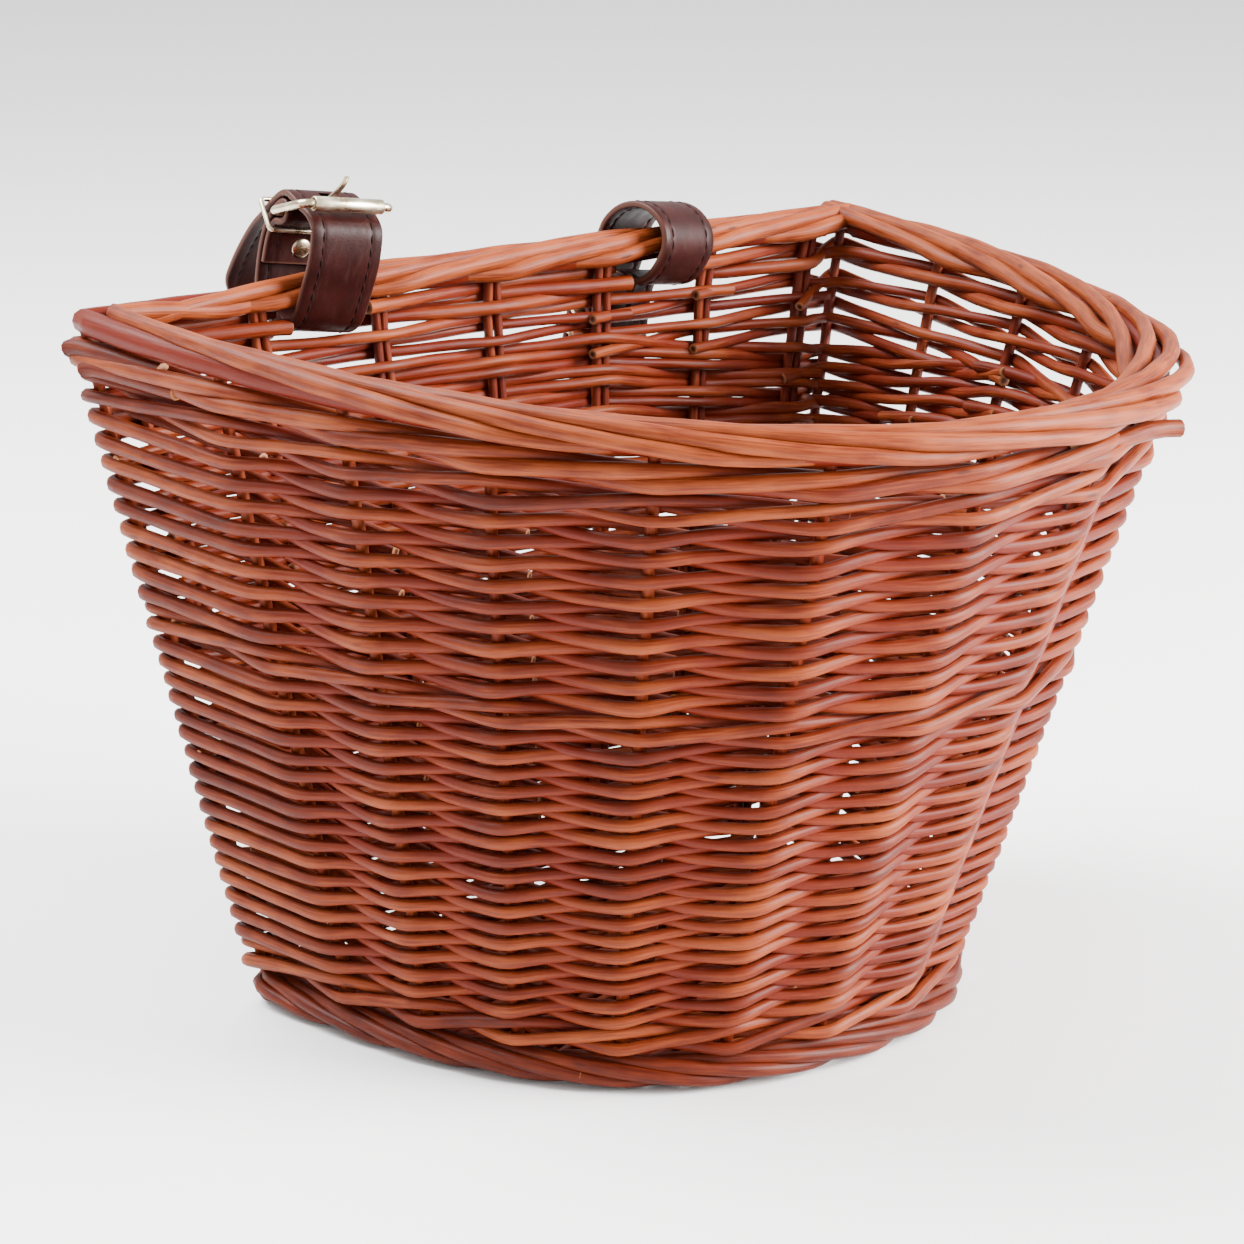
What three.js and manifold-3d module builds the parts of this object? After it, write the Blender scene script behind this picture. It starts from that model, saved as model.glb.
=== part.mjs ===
// A D-shaped willow basket that hangs from a bicycle's handlebar by two buckled leather straps.
// Millimetres, +Z up, +X to the basket's right as seen from the front, +Y towards the handlebar.
// The basket is a tree of real pieces: upright stakes, weave that runs in front of one stake and behind the
// next, a rolled rim border, a rolled foot border, a woven base, and the leather and metal of each strap.
import * as THREE from "three";
import { mergeVertices } from "three/addons/utils/BufferGeometryUtils.js";
import Module from "manifold-3d";

const wasm = await Module();
wasm.setup();

// Driving dimensions.
const RIM = { halfWidth: 170, depth: 265, squareness: 2.2, backHeight: 242, frontHeight: 226 };
const BASE = { halfWidth: 116, depth: 169, squareness: 2.37, forward: 19 };
const RIM_BORDER = { halfWidth: 9, halfHeight: 7.5 };
const FOOT_BORDER = { halfWidth: 6.5, halfHeight: 6.4, outward: 1 };
const WALL_INSIDE_RIM = 3.5; // the wall's middle surface stands this far inside the border's centre line
const STRAP_GAP = 8.1; // open height between the weave and the rim border, where the straps pass
const GAP = 0.3; // clearance between neighbouring pieces

// Stakes: single rods in the front and corners, and pairs of rods side by side in the back.
const STAKE = { halfWidth: 2.1, pairHalfWidth: 3.9, halfThickness: 2 };
const FRONT_STAKES = { count: 12, first: 0.1, last: 0.92 }; // shares of the front's run, from the left corner
const BACK_STAKES = [0.9, 0.6, 0.3, 0, -0.3, -0.6, -0.9]; // shares of the back's half width, right to left

// Weave: each ring stands for a course of several rods.
const WEAVE = { halfThickness: 1.5, swing: 4, flatHalfLength: 5, cornerHalfLength: 8 };
const WALES = { foot: 0.055, middle: [0.575, 0.625], top: 0.945 }; // shares of the wall's height
const SIDING_COURSES = 4;

// Base panel.
const BASE_STICK = { radius: 2.5, count: 5, spacing: 36 };
const BASE_WEAVE = { courses: 5, halfThickness: 1.2, swing: 4, midHeight: 6.5, flatHalfLength: 4.5 };
const BASE_INSET = 7.5; // from the foot border's centre line to the base panel's edge

// Leather straps and their hardware.
const STRAP = { width: 27, thickness: 2.6, fromMiddle: 77, steps: 64 };
const STRAP_TURN = THREE.MathUtils.degToRad(7.5); // each loop is turned a little about the vertical
const STRAP_LEAN = THREE.MathUtils.degToRad(7); // and leans towards the basket's right
const STRAP_WRAP_RADIUS = 12.5; // of the leather's middle, where it passes under the rim border
const LAP = { length: 24, aside: 1.7 }; // the end folded round the buckle's heel bar and riveted
const BUCKLE = { length: 22, halfWidth: 17, wire: 1.5, corner: 3 };
const ROLLER = { inner: 1.9, outer: 2.6, halfLength: 13.2 };
const PRONG = { inner: 1.8, outer: 3, halfWidth: 1.5, length: 24, raised: 24 }; // raised in degrees
const PRONG_SLOT = { halfWidth: 2.3, behind: 4.5, ahead: 15 };
const KEEPER = { along: 7.5, halfWidth: 15.2, wire: 0.9, inside: -5, outside: 8 };
const RIVET = { along: 18, post: 1.4, hole: 1.8, head: 3.6, headThickness: 1.1, burr: 3, burrThickness: 0.7 };

const WILLOW = new THREE.MeshStandardMaterial({ color: 0xa8552b, roughness: 0.55, metalness: 0 });
const LEATHER = new THREE.MeshStandardMaterial({ color: 0x42211c, roughness: 0.5, metalness: 0 });
const BRASS = new THREE.MeshStandardMaterial({ color: 0xb9a677, roughness: 0.3, metalness: 1 });

const basket = new THREE.Group();

// ---- Solids ----

function addMesh(group, name, geometry, material) {
  const mesh = new THREE.Mesh(geometry, material);
  mesh.name = name;
  group.add(mesh);
  return mesh;
}

// A closed body through sections of equal point count, either joined end to end or capped.
function sweep(sections, closed) {
  const size = sections[0].length;
  const corners = [];
  const quad = (a, b, c, d) => corners.push(a, b, c, a, c, d);
  const last = closed ? sections.length : sections.length - 1;
  for (let i = 0; i < last; i++) {
    const here = sections[i];
    const next = sections[(i + 1) % sections.length];
    for (let j = 0; j < size; j++) quad(here[j], next[j], next[(j + 1) % size], here[(j + 1) % size]);
  }
  if (!closed) {
    const first = sections[0];
    const end = sections[sections.length - 1];
    for (let j = 1; j < size - 1; j++) corners.push(first[0], first[j], first[j + 1], end[0], end[j + 1], end[j]);
  }
  return facingOut(new THREE.BufferGeometry().setFromPoints(corners));
}

// Turns the faces of a closed geometry round if they point inwards.
function facingOut(geometry) {
  const p = geometry.attributes.position;
  const [a, b, c] = [0, 1, 2].map(() => new THREE.Vector3());
  let volume = 0;
  for (let i = 0; i < p.count; i += 3) {
    a.fromBufferAttribute(p, i);
    b.fromBufferAttribute(p, i + 1);
    c.fromBufferAttribute(p, i + 2);
    volume += a.dot(b.cross(c));
  }
  if (volume < 0) {
    const flipped = p.array.slice();
    for (let i = 0; i < flipped.length; i += 9) {
      flipped.copyWithin(i, i + 3, i + 6);
      flipped.set(p.array.subarray(i, i + 3), i + 3);
    }
    geometry.setAttribute("position", new THREE.BufferAttribute(flipped, 3));
  }
  return geometry;
}

function toSolid(geometry) {
  const bare = new THREE.BufferGeometry();
  bare.setAttribute("position", (geometry.index ? geometry.toNonIndexed() : geometry).attributes.position);
  const merged = mergeVertices(bare, 1e-4);
  return new wasm.Manifold(
    new wasm.Mesh({
      numProp: 3,
      vertProperties: merged.attributes.position.array,
      triVerts: new Uint32Array(merged.index.array),
    }),
  );
}

function toGeometry(solid) {
  const mesh = solid.getMesh();
  const geometry = new THREE.BufferGeometry();
  geometry.setAttribute("position", new THREE.BufferAttribute(new Float32Array(mesh.vertProperties), 3));
  geometry.setIndex(new THREE.BufferAttribute(new Uint32Array(mesh.triVerts), 1));
  return geometry;
}

const joined = (...geometries) => toGeometry(geometries.map(toSolid).reduce((a, b) => a.add(b)));
const cut = (geometry, ...tools) => toGeometry(tools.map(toSolid).reduce((a, b) => a.subtract(b), toSolid(geometry)));

// ---- The basket's D ----

// One level of the D, run over its curved front from the left back corner to the right one.
class FrontCurve extends THREE.Curve {
  constructor({ halfWidth, depth, squareness, backY }) {
    super();
    Object.assign(this, { halfWidth, depth, squareness, backY });
    this.arcLengthDivisions = 800;
  }
  getPoint(t, target = new THREE.Vector3()) {
    const c = Math.cos(Math.PI * t);
    const s = Math.sin(Math.PI * t);
    const power = 2 / this.squareness;
    const x = -this.halfWidth * Math.sign(c) * Math.abs(c) ** power;
    return target.set(x, this.backY - this.depth * Math.abs(s) ** power, 0);
  }
}

// A place is from 0 to 1 over the front, by arc length, and from 1 to 2 along the back, right to left.
function outlinePoint(curve, place) {
  const p = (place + 2) % 2;
  if (p <= 1) return curve.getPointAt(p);
  return new THREE.Vector3(curve.halfWidth * (1 - 2 * (p - 1)), curve.backY, 0);
}

const rimCurve = new FrontCurve({ ...RIM, backY: 0 });
const wallTop = new FrontCurve({
  ...RIM,
  halfWidth: RIM.halfWidth - WALL_INSIDE_RIM,
  depth: RIM.depth - WALL_INSIDE_RIM,
  backY: 0,
});
const wallFoot = new FrontCurve({ ...BASE, backY: -BASE.forward });

const rimHeight = (y) => THREE.MathUtils.lerp(RIM.backHeight, RIM.frontHeight, -y / RIM.depth);
const footTop = 2 * FOOT_BORDER.halfHeight + GAP;

// A point of the wall's middle surface, at a place round the D and a share of the wall's height.
function wallPoint(place, level) {
  const top = outlinePoint(wallTop, place);
  const weaveTop = rimHeight(top.y) - RIM_BORDER.halfHeight - STRAP_GAP;
  const point = outlinePoint(wallFoot, place).lerp(top, level);
  point.z = THREE.MathUtils.lerp(footTop, weaveTop, level);
  return point;
}

// The level outward direction at a place, and at a corner the mitre of its two sides.
function outward(pointAt, place) {
  const STEP = 1e-3;
  const before = pointAt(place - STEP).sub(pointAt(place));
  const after = pointAt(place + STEP).sub(pointAt(place));
  const sideA = new THREE.Vector3(-before.y, before.x, 0).normalize();
  const sideB = new THREE.Vector3(after.y, -after.x, 0).normalize();
  const mitre = sideA.clone().add(sideB).normalize();
  return mitre.multiplyScalar(1 / Math.max(mitre.dot(sideA), 0.7));
}

// Stake places, with the two back corners at 0 and 1.
function stakePlaces() {
  const { count, first, last } = FRONT_STAKES;
  const front = Array.from({ length: count }, (_, i) => first + ((last - first) * i) / (count - 1));
  return [0, ...front, 1, ...BACK_STAKES.map((share) => 1 + (1 - share) / 2)];
}

const stakes = stakePlaces();
const isCorner = (place) => place === 0 || place === 1;
const isInBack = (place) => place > 1;

// The weave passes the left corner's neighbours and the right corner's back neighbour on the corner's own side,
// which leaves an even number of turns from front to back round the basket.
const SAME_SIDE_AS_ONE_BEFORE = [1, FRONT_STAKES.count + 2];
const CLOSE_STAKES = 0.06; // a corner and its back neighbour are fewer place units apart than this
const sides = stakes.reduce((found, _, i) => {
  const before = found[i - 1] ?? -1;
  return [...found, SAME_SIDE_AS_ONE_BEFORE.includes(i) ? before : -before];
}, []);

// How far along the D one place unit runs, in millimetres, at a place.
function runPerPlace(place, level) {
  const STEP = 0.004;
  const p = isCorner(place) ? place + STEP : place;
  return wallPoint(p + STEP, level).distanceTo(wallPoint(p - STEP, level)) / (2 * STEP);
}

// ---- Willow ----

// A stake's section, as shares of its half width and half thickness.
const STAKE_OUTLINE = [
  [1, 0],
  [0.6, 1],
  [-0.6, 1],
  [-1, 0],
  [-0.6, -1],
  [0.6, -1],
];

function stakeName(place, i) {
  if (isCorner(place)) return place ? "corner_stake_right" : "corner_stake_left";
  if (isInBack(place)) return `back_stake_pair_${i - FRONT_STAKES.count - 1}`;
  return "front_stake_" + String(i).padStart(2, "0");
}

function addStakes() {
  stakes.forEach((place, i) => {
    const middle = outward((p) => wallPoint(p, 0.5), place).normalize();
    const along = new THREE.Vector3(-middle.y, middle.x, 0);
    const foot = wallPoint(place, 0);
    const weaveEnd = wallPoint(place, 1);
    const reach = (STRAP_GAP - 2 * GAP) / (weaveEnd.z - foot.z);
    const tip = foot.clone().lerp(weaveEnd, 1 + reach);
    const halfWidth = isInBack(place) ? STAKE.pairHalfWidth : STAKE.halfWidth;
    const section = (centre) =>
      STAKE_OUTLINE.map(([side, face]) =>
        centre
          .clone()
          .addScaledVector(along, side * halfWidth)
          .addScaledVector(middle, face * STAKE.halfThickness),
      );
    addMesh(basket, stakeName(place, i), sweep([section(foot), section(tip)], false), WILLOW);
  });
}

// The stations of one weave ring: flat over each stake, and crossing the wall's middle between stakes.
function weaveStations(level, phase) {
  const stations = [];
  const start = phase % 2 ? -WEAVE.swing : WEAVE.swing;
  stakes.forEach((place, i) => {
    const swing = start * sides[i];
    const before = place - (i ? stakes[i - 1] : stakes[stakes.length - 1] - 2);
    const after = (stakes[i + 1] ?? 2) - place;
    const halfLength = isCorner(place) ? WEAVE.cornerHalfLength : WEAVE.flatHalfLength;
    const flat = halfLength / runPerPlace(place, level);
    if (before > CLOSE_STAKES) stations.push([place - flat, swing]);
    if (isCorner(place)) stations.push([place, swing]);
    if (after > CLOSE_STAKES) stations.push([place + flat, swing]);
    if (sides[(i + 1) % stakes.length] !== sides[i]) stations.push([place + after / 2, 0]);
  });
  return stations;
}

function weaveRing(bottom, top, phase) {
  const middle = (bottom + top) / 2;
  const sections = weaveStations(middle, phase).map(([place, swing]) => {
    const normal = outward((p) => wallPoint(p, middle), place);
    const low = wallPoint(place, bottom);
    const high = wallPoint(place, top);
    const corner = (point, side, lift) => {
      const moved = point.clone().addScaledVector(normal, swing + side * WEAVE.halfThickness);
      moved.z += lift;
      return moved;
    };
    const inset = GAP / 2;
    return [corner(low, 1, inset), corner(high, 1, -inset), corner(high, -1, -inset), corner(low, -1, inset)];
  });
  return sweep(sections, true);
}

function addWeave() {
  const [middleLow, middleHigh] = WALES.middle;
  addMesh(basket, "foot_wale", weaveRing(0, WALES.foot, 0), WILLOW);
  addMesh(basket, "middle_wale", weaveRing(middleLow, middleHigh, 1), WILLOW);
  addMesh(basket, "top_wale", weaveRing(WALES.top, 1, 0), WILLOW);
  const courses = (name, low, high, phase) => {
    for (let i = 0; i < SIDING_COURSES; i++) {
      const at = (k) => THREE.MathUtils.lerp(low, high, k / SIDING_COURSES);
      addMesh(basket, `${name}_siding_${i + 1}`, weaveRing(at(i), at(i + 1), i + phase), WILLOW);
    }
  };
  courses("lower", WALES.foot, middleLow, 1);
  courses("upper", middleHigh, WALES.top, 0);
}

// A rolled border along a closed line of places, with the section given as angles round it.
function borderRing(pointAt, places, halfWidth, halfHeight, angles) {
  const sections = places.map((place) => {
    const centre = pointAt(place);
    const normal = outward(pointAt, place);
    return angles.map((a) => {
      const point = centre.clone().addScaledVector(normal, Math.cos(a) * halfWidth);
      point.z += Math.sin(a) * halfHeight;
      return point;
    });
  });
  return sweep(sections, true);
}

function evenPlaces(frontSteps, backSteps) {
  const front = Array.from({ length: frontSteps }, (_, i) => i / frontSteps);
  const back = Array.from({ length: backSteps }, (_, i) => 1 + i / backSteps);
  return [...front, ...back];
}

function addBorders() {
  const TEN = Array.from({ length: 10 }, (_, i) => (i * Math.PI) / 5);
  const rimPoint = (place) => {
    const point = outlinePoint(rimCurve, place);
    point.z = rimHeight(point.y);
    return point;
  };
  const rim = borderRing(rimPoint, evenPlaces(42, 4), RIM_BORDER.halfWidth, RIM_BORDER.halfHeight, TEN);
  addMesh(basket, "rim_border", rim, WILLOW);

  // The foot's section is an octagon standing on a flat side.
  const EIGHT = Array.from({ length: 8 }, (_, i) => ((i + 0.5) * Math.PI) / 4);
  const flat = 1 / Math.cos(Math.PI / 8);
  const footPoint = (place) => {
    const point = outlinePoint(wallFoot, place);
    point.z = FOOT_BORDER.halfHeight;
    return point;
  };
  const footLine = (place) => {
    const point = footPoint(place);
    return point.addScaledVector(outward(footPoint, place), FOOT_BORDER.outward);
  };
  const { halfWidth, halfHeight } = FOOT_BORDER;
  const foot = borderRing(footLine, evenPlaces(36, 2), halfWidth * flat, halfHeight * flat, EIGHT);
  addMesh(basket, "foot_border", foot, WILLOW);
}

// ---- The woven base ----

const panel = {
  halfWidth: BASE.halfWidth + FOOT_BORDER.outward - BASE_INSET,
  back: -BASE.forward + FOOT_BORDER.outward - BASE_INSET,
  depth: BASE.depth + 2 * FOOT_BORDER.outward - 2 * BASE_INSET,
};
const panelHalfWidthAt = (y) => {
  const share = THREE.MathUtils.clamp((panel.back - y) / panel.depth, 0, 1);
  return panel.halfWidth * (1 - share ** BASE.squareness) ** (1 / BASE.squareness);
};
const panelFrontAt = (x) =>
  panel.back - panel.depth * (1 - (Math.abs(x) / panel.halfWidth) ** BASE.squareness) ** (1 / BASE.squareness);

const baseStickX = Array.from(
  { length: BASE_STICK.count },
  (_, i) => (i - (BASE_STICK.count - 1) / 2) * BASE_STICK.spacing,
);

function addBaseSticks() {
  baseStickX.forEach((x, i) => {
    const front = panelFrontAt(Math.abs(x) + BASE_STICK.radius);
    const length = panel.back - front;
    const stick = new THREE.CylinderGeometry(BASE_STICK.radius, BASE_STICK.radius, length, 6);
    const mesh = addMesh(basket, `base_stick_${i + 1}`, stick, WILLOW);
    mesh.position.set(x, (panel.back + front) / 2, BASE_WEAVE.midHeight);
  });
}

// One course of the base's weave, running left to right over one stick and under the next.
function baseCourse(back, front, phase) {
  const widths = [panelHalfWidthAt(back), panelHalfWidthAt(front)];
  const isCrossed = (x) => Math.abs(x) + BASE_WEAVE.flatHalfLength < Math.min(...widths);
  const beyond = baseStickX.filter((x) => x > 0 && !isCrossed(x)).map((x) => x - BASE_STICK.radius - GAP);
  const reach = widths.map((width) => Math.min(width, ...beyond));
  const crossed = baseStickX
    .map((x, i) => ({ x, swing: (i + phase) % 2 ? -BASE_WEAVE.swing : BASE_WEAVE.swing }))
    .filter(({ x }) => isCrossed(x));
  const stations = [];
  crossed.forEach(({ x, swing }, i) => {
    stations.push([x - BASE_WEAVE.flatHalfLength, swing], [x + BASE_WEAVE.flatHalfLength, swing]);
    if (i + 1 < crossed.length) stations.push([(x + crossed[i + 1].x) / 2, 0]);
  });
  const ends = [stations[0][1], stations[stations.length - 1][1]];
  const section = (xBack, xFront, swing) => {
    const z = BASE_WEAVE.midHeight + swing;
    return [
      new THREE.Vector3(xBack, back, z - BASE_WEAVE.halfThickness),
      new THREE.Vector3(xFront, front, z - BASE_WEAVE.halfThickness),
      new THREE.Vector3(xFront, front, z + BASE_WEAVE.halfThickness),
      new THREE.Vector3(xBack, back, z + BASE_WEAVE.halfThickness),
    ];
  };
  return sweep(
    [
      section(-reach[0], -reach[1], ends[0] * 0.4),
      ...stations.map(([x, swing]) => section(x, x, swing)),
      section(reach[0], reach[1], ends[1] * 0.4),
    ],
    false,
  );
}

function addBaseWeave() {
  const last = 0.93; // the front of the panel narrows to nothing, so the last course stops short of it
  for (let i = 0; i < BASE_WEAVE.courses; i++) {
    const edge = (k) => panel.back - panel.depth * last * (k / BASE_WEAVE.courses);
    const course = baseCourse(edge(i) - GAP / 2, edge(i + 1) + GAP / 2, i);
    addMesh(basket, `base_weave_${i + 1}`, course, WILLOW);
  }
}

// ---- Straps ----
// Each strap has a frame of its own at the rim border's centre: x across the leather, y towards the handlebar.

const plane = (y, z) => new THREE.Vector2(y, z);
const turned = (vector, degrees) => vector.clone().rotateAround(plane(0, 0), THREE.MathUtils.degToRad(degrees));

// The lap's middle line: straight before the heel bar, then along the given offsets from it.
class LapPath {
  constructor(heel, offsets) {
    this.heel = heel;
    this.curve = new THREE.SplineCurve([heel, ...offsets.map(([y, z]) => heel.clone().add(plane(y, z)))]);
    this.length = this.curve.getLength();
  }
  direction(along) {
    return this.curve.getTangentAt(THREE.MathUtils.clamp(along / this.length, 0, 1));
  }
  out(along) {
    return turned(this.direction(along), 90);
  }
  point(along, aside = 0) {
    const on = along < 0 ? this.heel.clone() : this.curve.getPointAt(along / this.length);
    return on.addScaledVector(this.direction(0), Math.min(along, 0)).addScaledVector(this.out(along), aside);
  }
}

// The leather's middle line, from the riveted lap, round the heel bar, under the border and back to the tip.
function strapLine({ heel, lap, mainRun, rise, tail }) {
  const { length, aside } = LAP;
  const wrap = [-60, -90, -120, -150].map((degrees) => {
    const a = THREE.MathUtils.degToRad(degrees);
    return plane(Math.cos(a), Math.sin(a)).multiplyScalar(STRAP_WRAP_RADIUS);
  });
  return new THREE.SplineCurve([
    lap.point(length, -aside),
    lap.point(length * 0.6, -aside),
    lap.point(length * 0.3, -aside - 0.1),
    lap.point(2, -3.2),
    lap.point(-1.8, -2.8),
    lap.point(-3.4, 0),
    lap.point(-1.8, 2.8),
    lap.point(2, 3.2),
    lap.point(length * 0.3, aside + 0.1),
    lap.point(length * 0.6, aside),
    lap.point(length, aside),
    ...mainRun.map(([y, z]) => plane(y, z)),
    ...wrap,
    ...rise.map(([y, z]) => plane(y, z)),
    lap.point(-5.5, 4.4),
    lap.point(-1.5, 6),
    lap.point(3, 5.7),
    lap.point(KEEPER.along, 5.1),
    ...tail.map(([y, z]) => heel.clone().add(plane(y, z))),
  ]);
}

function ribbon(curve, steps, width, thickness) {
  const points = curve.getSpacedPoints(steps);
  const sections = points.map((point, i) => {
    const before = points[Math.max(i - 1, 0)];
    const after = points[Math.min(i + 1, steps)];
    const normal = new THREE.Vector2(before.y - after.y, after.x - before.x).normalize();
    const corner = (x, side) => {
      const p = point.clone().addScaledVector(normal, (side * thickness) / 2);
      return new THREE.Vector3((x * width) / 2, p.x, p.y);
    };
    return [corner(-1, -1), corner(1, -1), corner(1, 1), corner(-1, 1)];
  });
  return sweep(sections, false);
}

// Turns a piece made with its own y along one direction of the strap's frame and puts it at a point.
function seat(geometry, at, direction) {
  return geometry.rotateX(Math.atan2(direction.y, direction.x)).translate(0, at.x, at.y);
}

// A ring about the x axis, such as the roller.
function tube(inner, outer, halfLength, sides) {
  const corners = [
    [inner, -halfLength],
    [outer, -halfLength],
    [outer, halfLength],
    [inner, halfLength],
    [inner, -halfLength],
  ];
  const profile = corners.map(([r, h]) => new THREE.Vector2(r, h));
  return facingOut(
    new THREE.LatheGeometry(profile, sides)
      .rotateZ(Math.PI / 2)
      .toNonIndexed(),
  );
}

// A rounded rectangle of wire in the x y plane, its heel bar on y = 0.
function wireLoop(halfWidth, low, high, corner, wire, sides) {
  const shape = new THREE.Shape();
  shape.absarc(halfWidth - corner, low + corner, corner, -Math.PI / 2, 0);
  shape.absarc(halfWidth - corner, high - corner, corner, 0, Math.PI / 2);
  shape.absarc(-halfWidth + corner, high - corner, corner, Math.PI / 2, Math.PI);
  shape.absarc(-halfWidth + corner, low + corner, corner, Math.PI, 1.5 * Math.PI);
  const points = shape.getPoints(3);
  const kept = points.filter((p, i) => p.distanceTo(points[(i + 1) % points.length]) > 1e-6);
  const sections = kept.map((p, i) => {
    const before = kept[(i + kept.length - 1) % kept.length];
    const after = kept[(i + 1) % kept.length];
    const normal = new THREE.Vector2(after.y - before.y, before.x - after.x).normalize();
    return Array.from({ length: sides }, (_, k) => {
      const a = (2 * Math.PI * (k + 0.5)) / sides;
      const offset = p.clone().addScaledVector(normal, Math.cos(a) * wire);
      return new THREE.Vector3(offset.x, offset.y, Math.sin(a) * wire);
    });
  });
  return sweep(sections, true);
}

function prongGeometry() {
  const { inner, outer, halfWidth, length } = PRONG;
  const start = inner + 0.4;
  const bar = (y, low, high, half) => [
    new THREE.Vector3(-half, y, low),
    new THREE.Vector3(half, y, low),
    new THREE.Vector3(half, y, high),
    new THREE.Vector3(-half, y, high),
  ];
  const arm = sweep(
    [
      bar(start, -0.8, 1.2, halfWidth),
      bar(length * 0.5, 0, 1.8, halfWidth),
      bar(length * 0.85, 0.4, 2, halfWidth * 0.85),
      bar(length, -0.4, 0.8, halfWidth * 0.6),
    ],
    false,
  );
  return joined(tube(inner, outer, halfWidth, 12), arm);
}

function rivetGeometry(lapFace, burrFace) {
  const end = burrFace + RIVET.burrThickness + 0.3;
  const profile = [
    [0, lapFace - RIVET.headThickness],
    [RIVET.head * 0.7, lapFace - RIVET.headThickness],
    [RIVET.head, lapFace - GAP],
    [RIVET.post, lapFace - GAP],
    [RIVET.post, end],
    [0, end],
  ];
  return new THREE.LatheGeometry(profile.map(([r, h]) => new THREE.Vector2(r, h)), 12);
}

function addStrap(side, x, turn, line) {
  const { heel, bar, lap } = line;
  const group = new THREE.Group();
  group.position.set(x, 0, RIM.backHeight);
  group.rotation.set(0, STRAP_LEAN, turn, "ZYX");
  basket.add(group);
  const name = (piece) => `${side}_${piece}`;

  // The leather, slotted for the prong and drilled for the rivet.
  const slot = new THREE.BoxGeometry(2 * PRONG_SLOT.halfWidth, PRONG_SLOT.ahead + PRONG_SLOT.behind, 20);
  slot.translate(0, (PRONG_SLOT.ahead - PRONG_SLOT.behind) / 2, 4);
  const rivetAt = lap.point(RIVET.along);
  const rivetOut = lap.out(RIVET.along);
  const hole = new THREE.CylinderGeometry(RIVET.hole, RIVET.hole, 7, 8);
  const leather = cut(
    ribbon(strapLine(line), STRAP.steps, STRAP.width, STRAP.thickness),
    seat(slot, heel, bar),
    seat(hole, rivetAt, rivetOut),
  );
  addMesh(group, name("strap"), leather, LEATHER);

  // The buckle: a wire frame whose far bar carries a roller, and a prong on the heel bar.
  const frame = wireLoop(BUCKLE.halfWidth, 0, BUCKLE.length, BUCKLE.corner, BUCKLE.wire, 8);
  addMesh(group, name("buckle_frame"), seat(frame, heel, bar), BRASS);
  const rollerAt = heel.clone().addScaledVector(bar, BUCKLE.length);
  const roller = tube(ROLLER.inner, ROLLER.outer, ROLLER.halfLength, 12);
  addMesh(group, name("buckle_roller"), seat(roller, rollerAt, bar), BRASS);
  addMesh(group, name("buckle_prong"), seat(prongGeometry(), heel, turned(bar, -PRONG.raised)), BRASS);

  // The wire keeper round the layers behind the buckle.
  const keeper = wireLoop(KEEPER.halfWidth, KEEPER.inside, KEEPER.outside, 1.6, KEEPER.wire, 6);
  addMesh(group, name("keeper"), seat(keeper, lap.point(KEEPER.along), lap.out(KEEPER.along)), BRASS);

  // The rivet through lap and strap, with its burr on the outer side.
  const face = LAP.aside + STRAP.thickness / 2 + GAP / 2;
  const rivet = facingOut(rivetGeometry(-face, face + GAP).toNonIndexed());
  addMesh(group, name("rivet"), seat(rivet, rivetAt, rivetOut), BRASS);
  const burr = tube(RIVET.post + GAP, RIVET.burr, RIVET.burrThickness / 2, 12).rotateZ(Math.PI / 2);
  burr.translate(0, face + GAP + RIVET.burrThickness / 2, 0);
  addMesh(group, name("rivet_burr"), seat(burr, rivetAt, rivetOut), BRASS);
}

// The heel bar's place, the way the frame points from it, and the lap that runs from it, in the strap's frame.
function buckleEnd(heelY, heelZ, barDegrees, lapOffsets) {
  const heel = plane(heelY, heelZ);
  return { heel, bar: turned(plane(1, 0), barDegrees), lap: new LapPath(heel, lapOffsets) };
}

function addStraps() {
  // The left loop stands up, with its buckle on top and its tail springing away behind.
  const upright = {
    ...buckleEnd(5, 26.2, 166, [[6, -2.6], [9.6, -7.6], [11.4, -14], [12, -20], [12, -27]]),
    mainRun: [[18, -3.5], [14.4, -8.4], [10, -10.2]],
    rise: [[-14.4, 3], [-16.8, 10], [-17.8, 17], [-17.2, 23.4], [-13, 27.2], [-7, 29.2]],
    tail: [[13.6, -2.4], [19.8, -7], [25.6, -13], [31, -20], [35.6, -28], [39, -36.5]],
  };
  addStrap("left", -STRAP.fromMiddle, -STRAP_TURN, upright);

  // The right loop has slipped over the border, so that its buckle hangs behind the wall.
  const slipped = {
    ...buckleEnd(23, -27, 82, [[1.6, -7], [1.8, -14], [1, -20], [-1, -27]]),
    mainRun: [[19, -59], [14.8, -57], [14, -48], [14, -38], [14, -27], [13.2, -17.5], [10, -11.2]],
    rise: [[-14.2, 1], [-13, 8], [-7.5, 13.3], [0.5, 15.4], [8.8, 13.4], [15, 8.2], [17.8, 1.4], [19.2, -6], [21.8, -13.5]],
    tail: [[7.6, -13], [8.4, -19], [9, -26]],
  };
  addStrap("right", STRAP.fromMiddle, STRAP_TURN, slipped);
}

addStakes();
addWeave();
addBorders();
addBaseSticks();
addBaseWeave();
addStraps();

// The origin is the middle of the bottom of the whole part's box.
basket.updateMatrixWorld(true);
const box = new THREE.Box3().setFromObject(basket, true);
const centre = box.getCenter(new THREE.Vector3());
basket.position.set(-centre.x, -centre.y, -box.min.z);

const part = new THREE.Group();
part.add(basket);
export default part;
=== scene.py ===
# The looks of a willow handlebar basket with two buckled leather straps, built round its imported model.
# Shapes are worked out in millimetres in the basket's own frame: y = 0 on the back rim's centre line, z = 0
# on the floor and +X to the basket's right seen from the front. to_world() turns them into metres of the
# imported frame.
import math

import bmesh
import bpy
import numpy as np
from mathutils import Matrix, Vector


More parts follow.
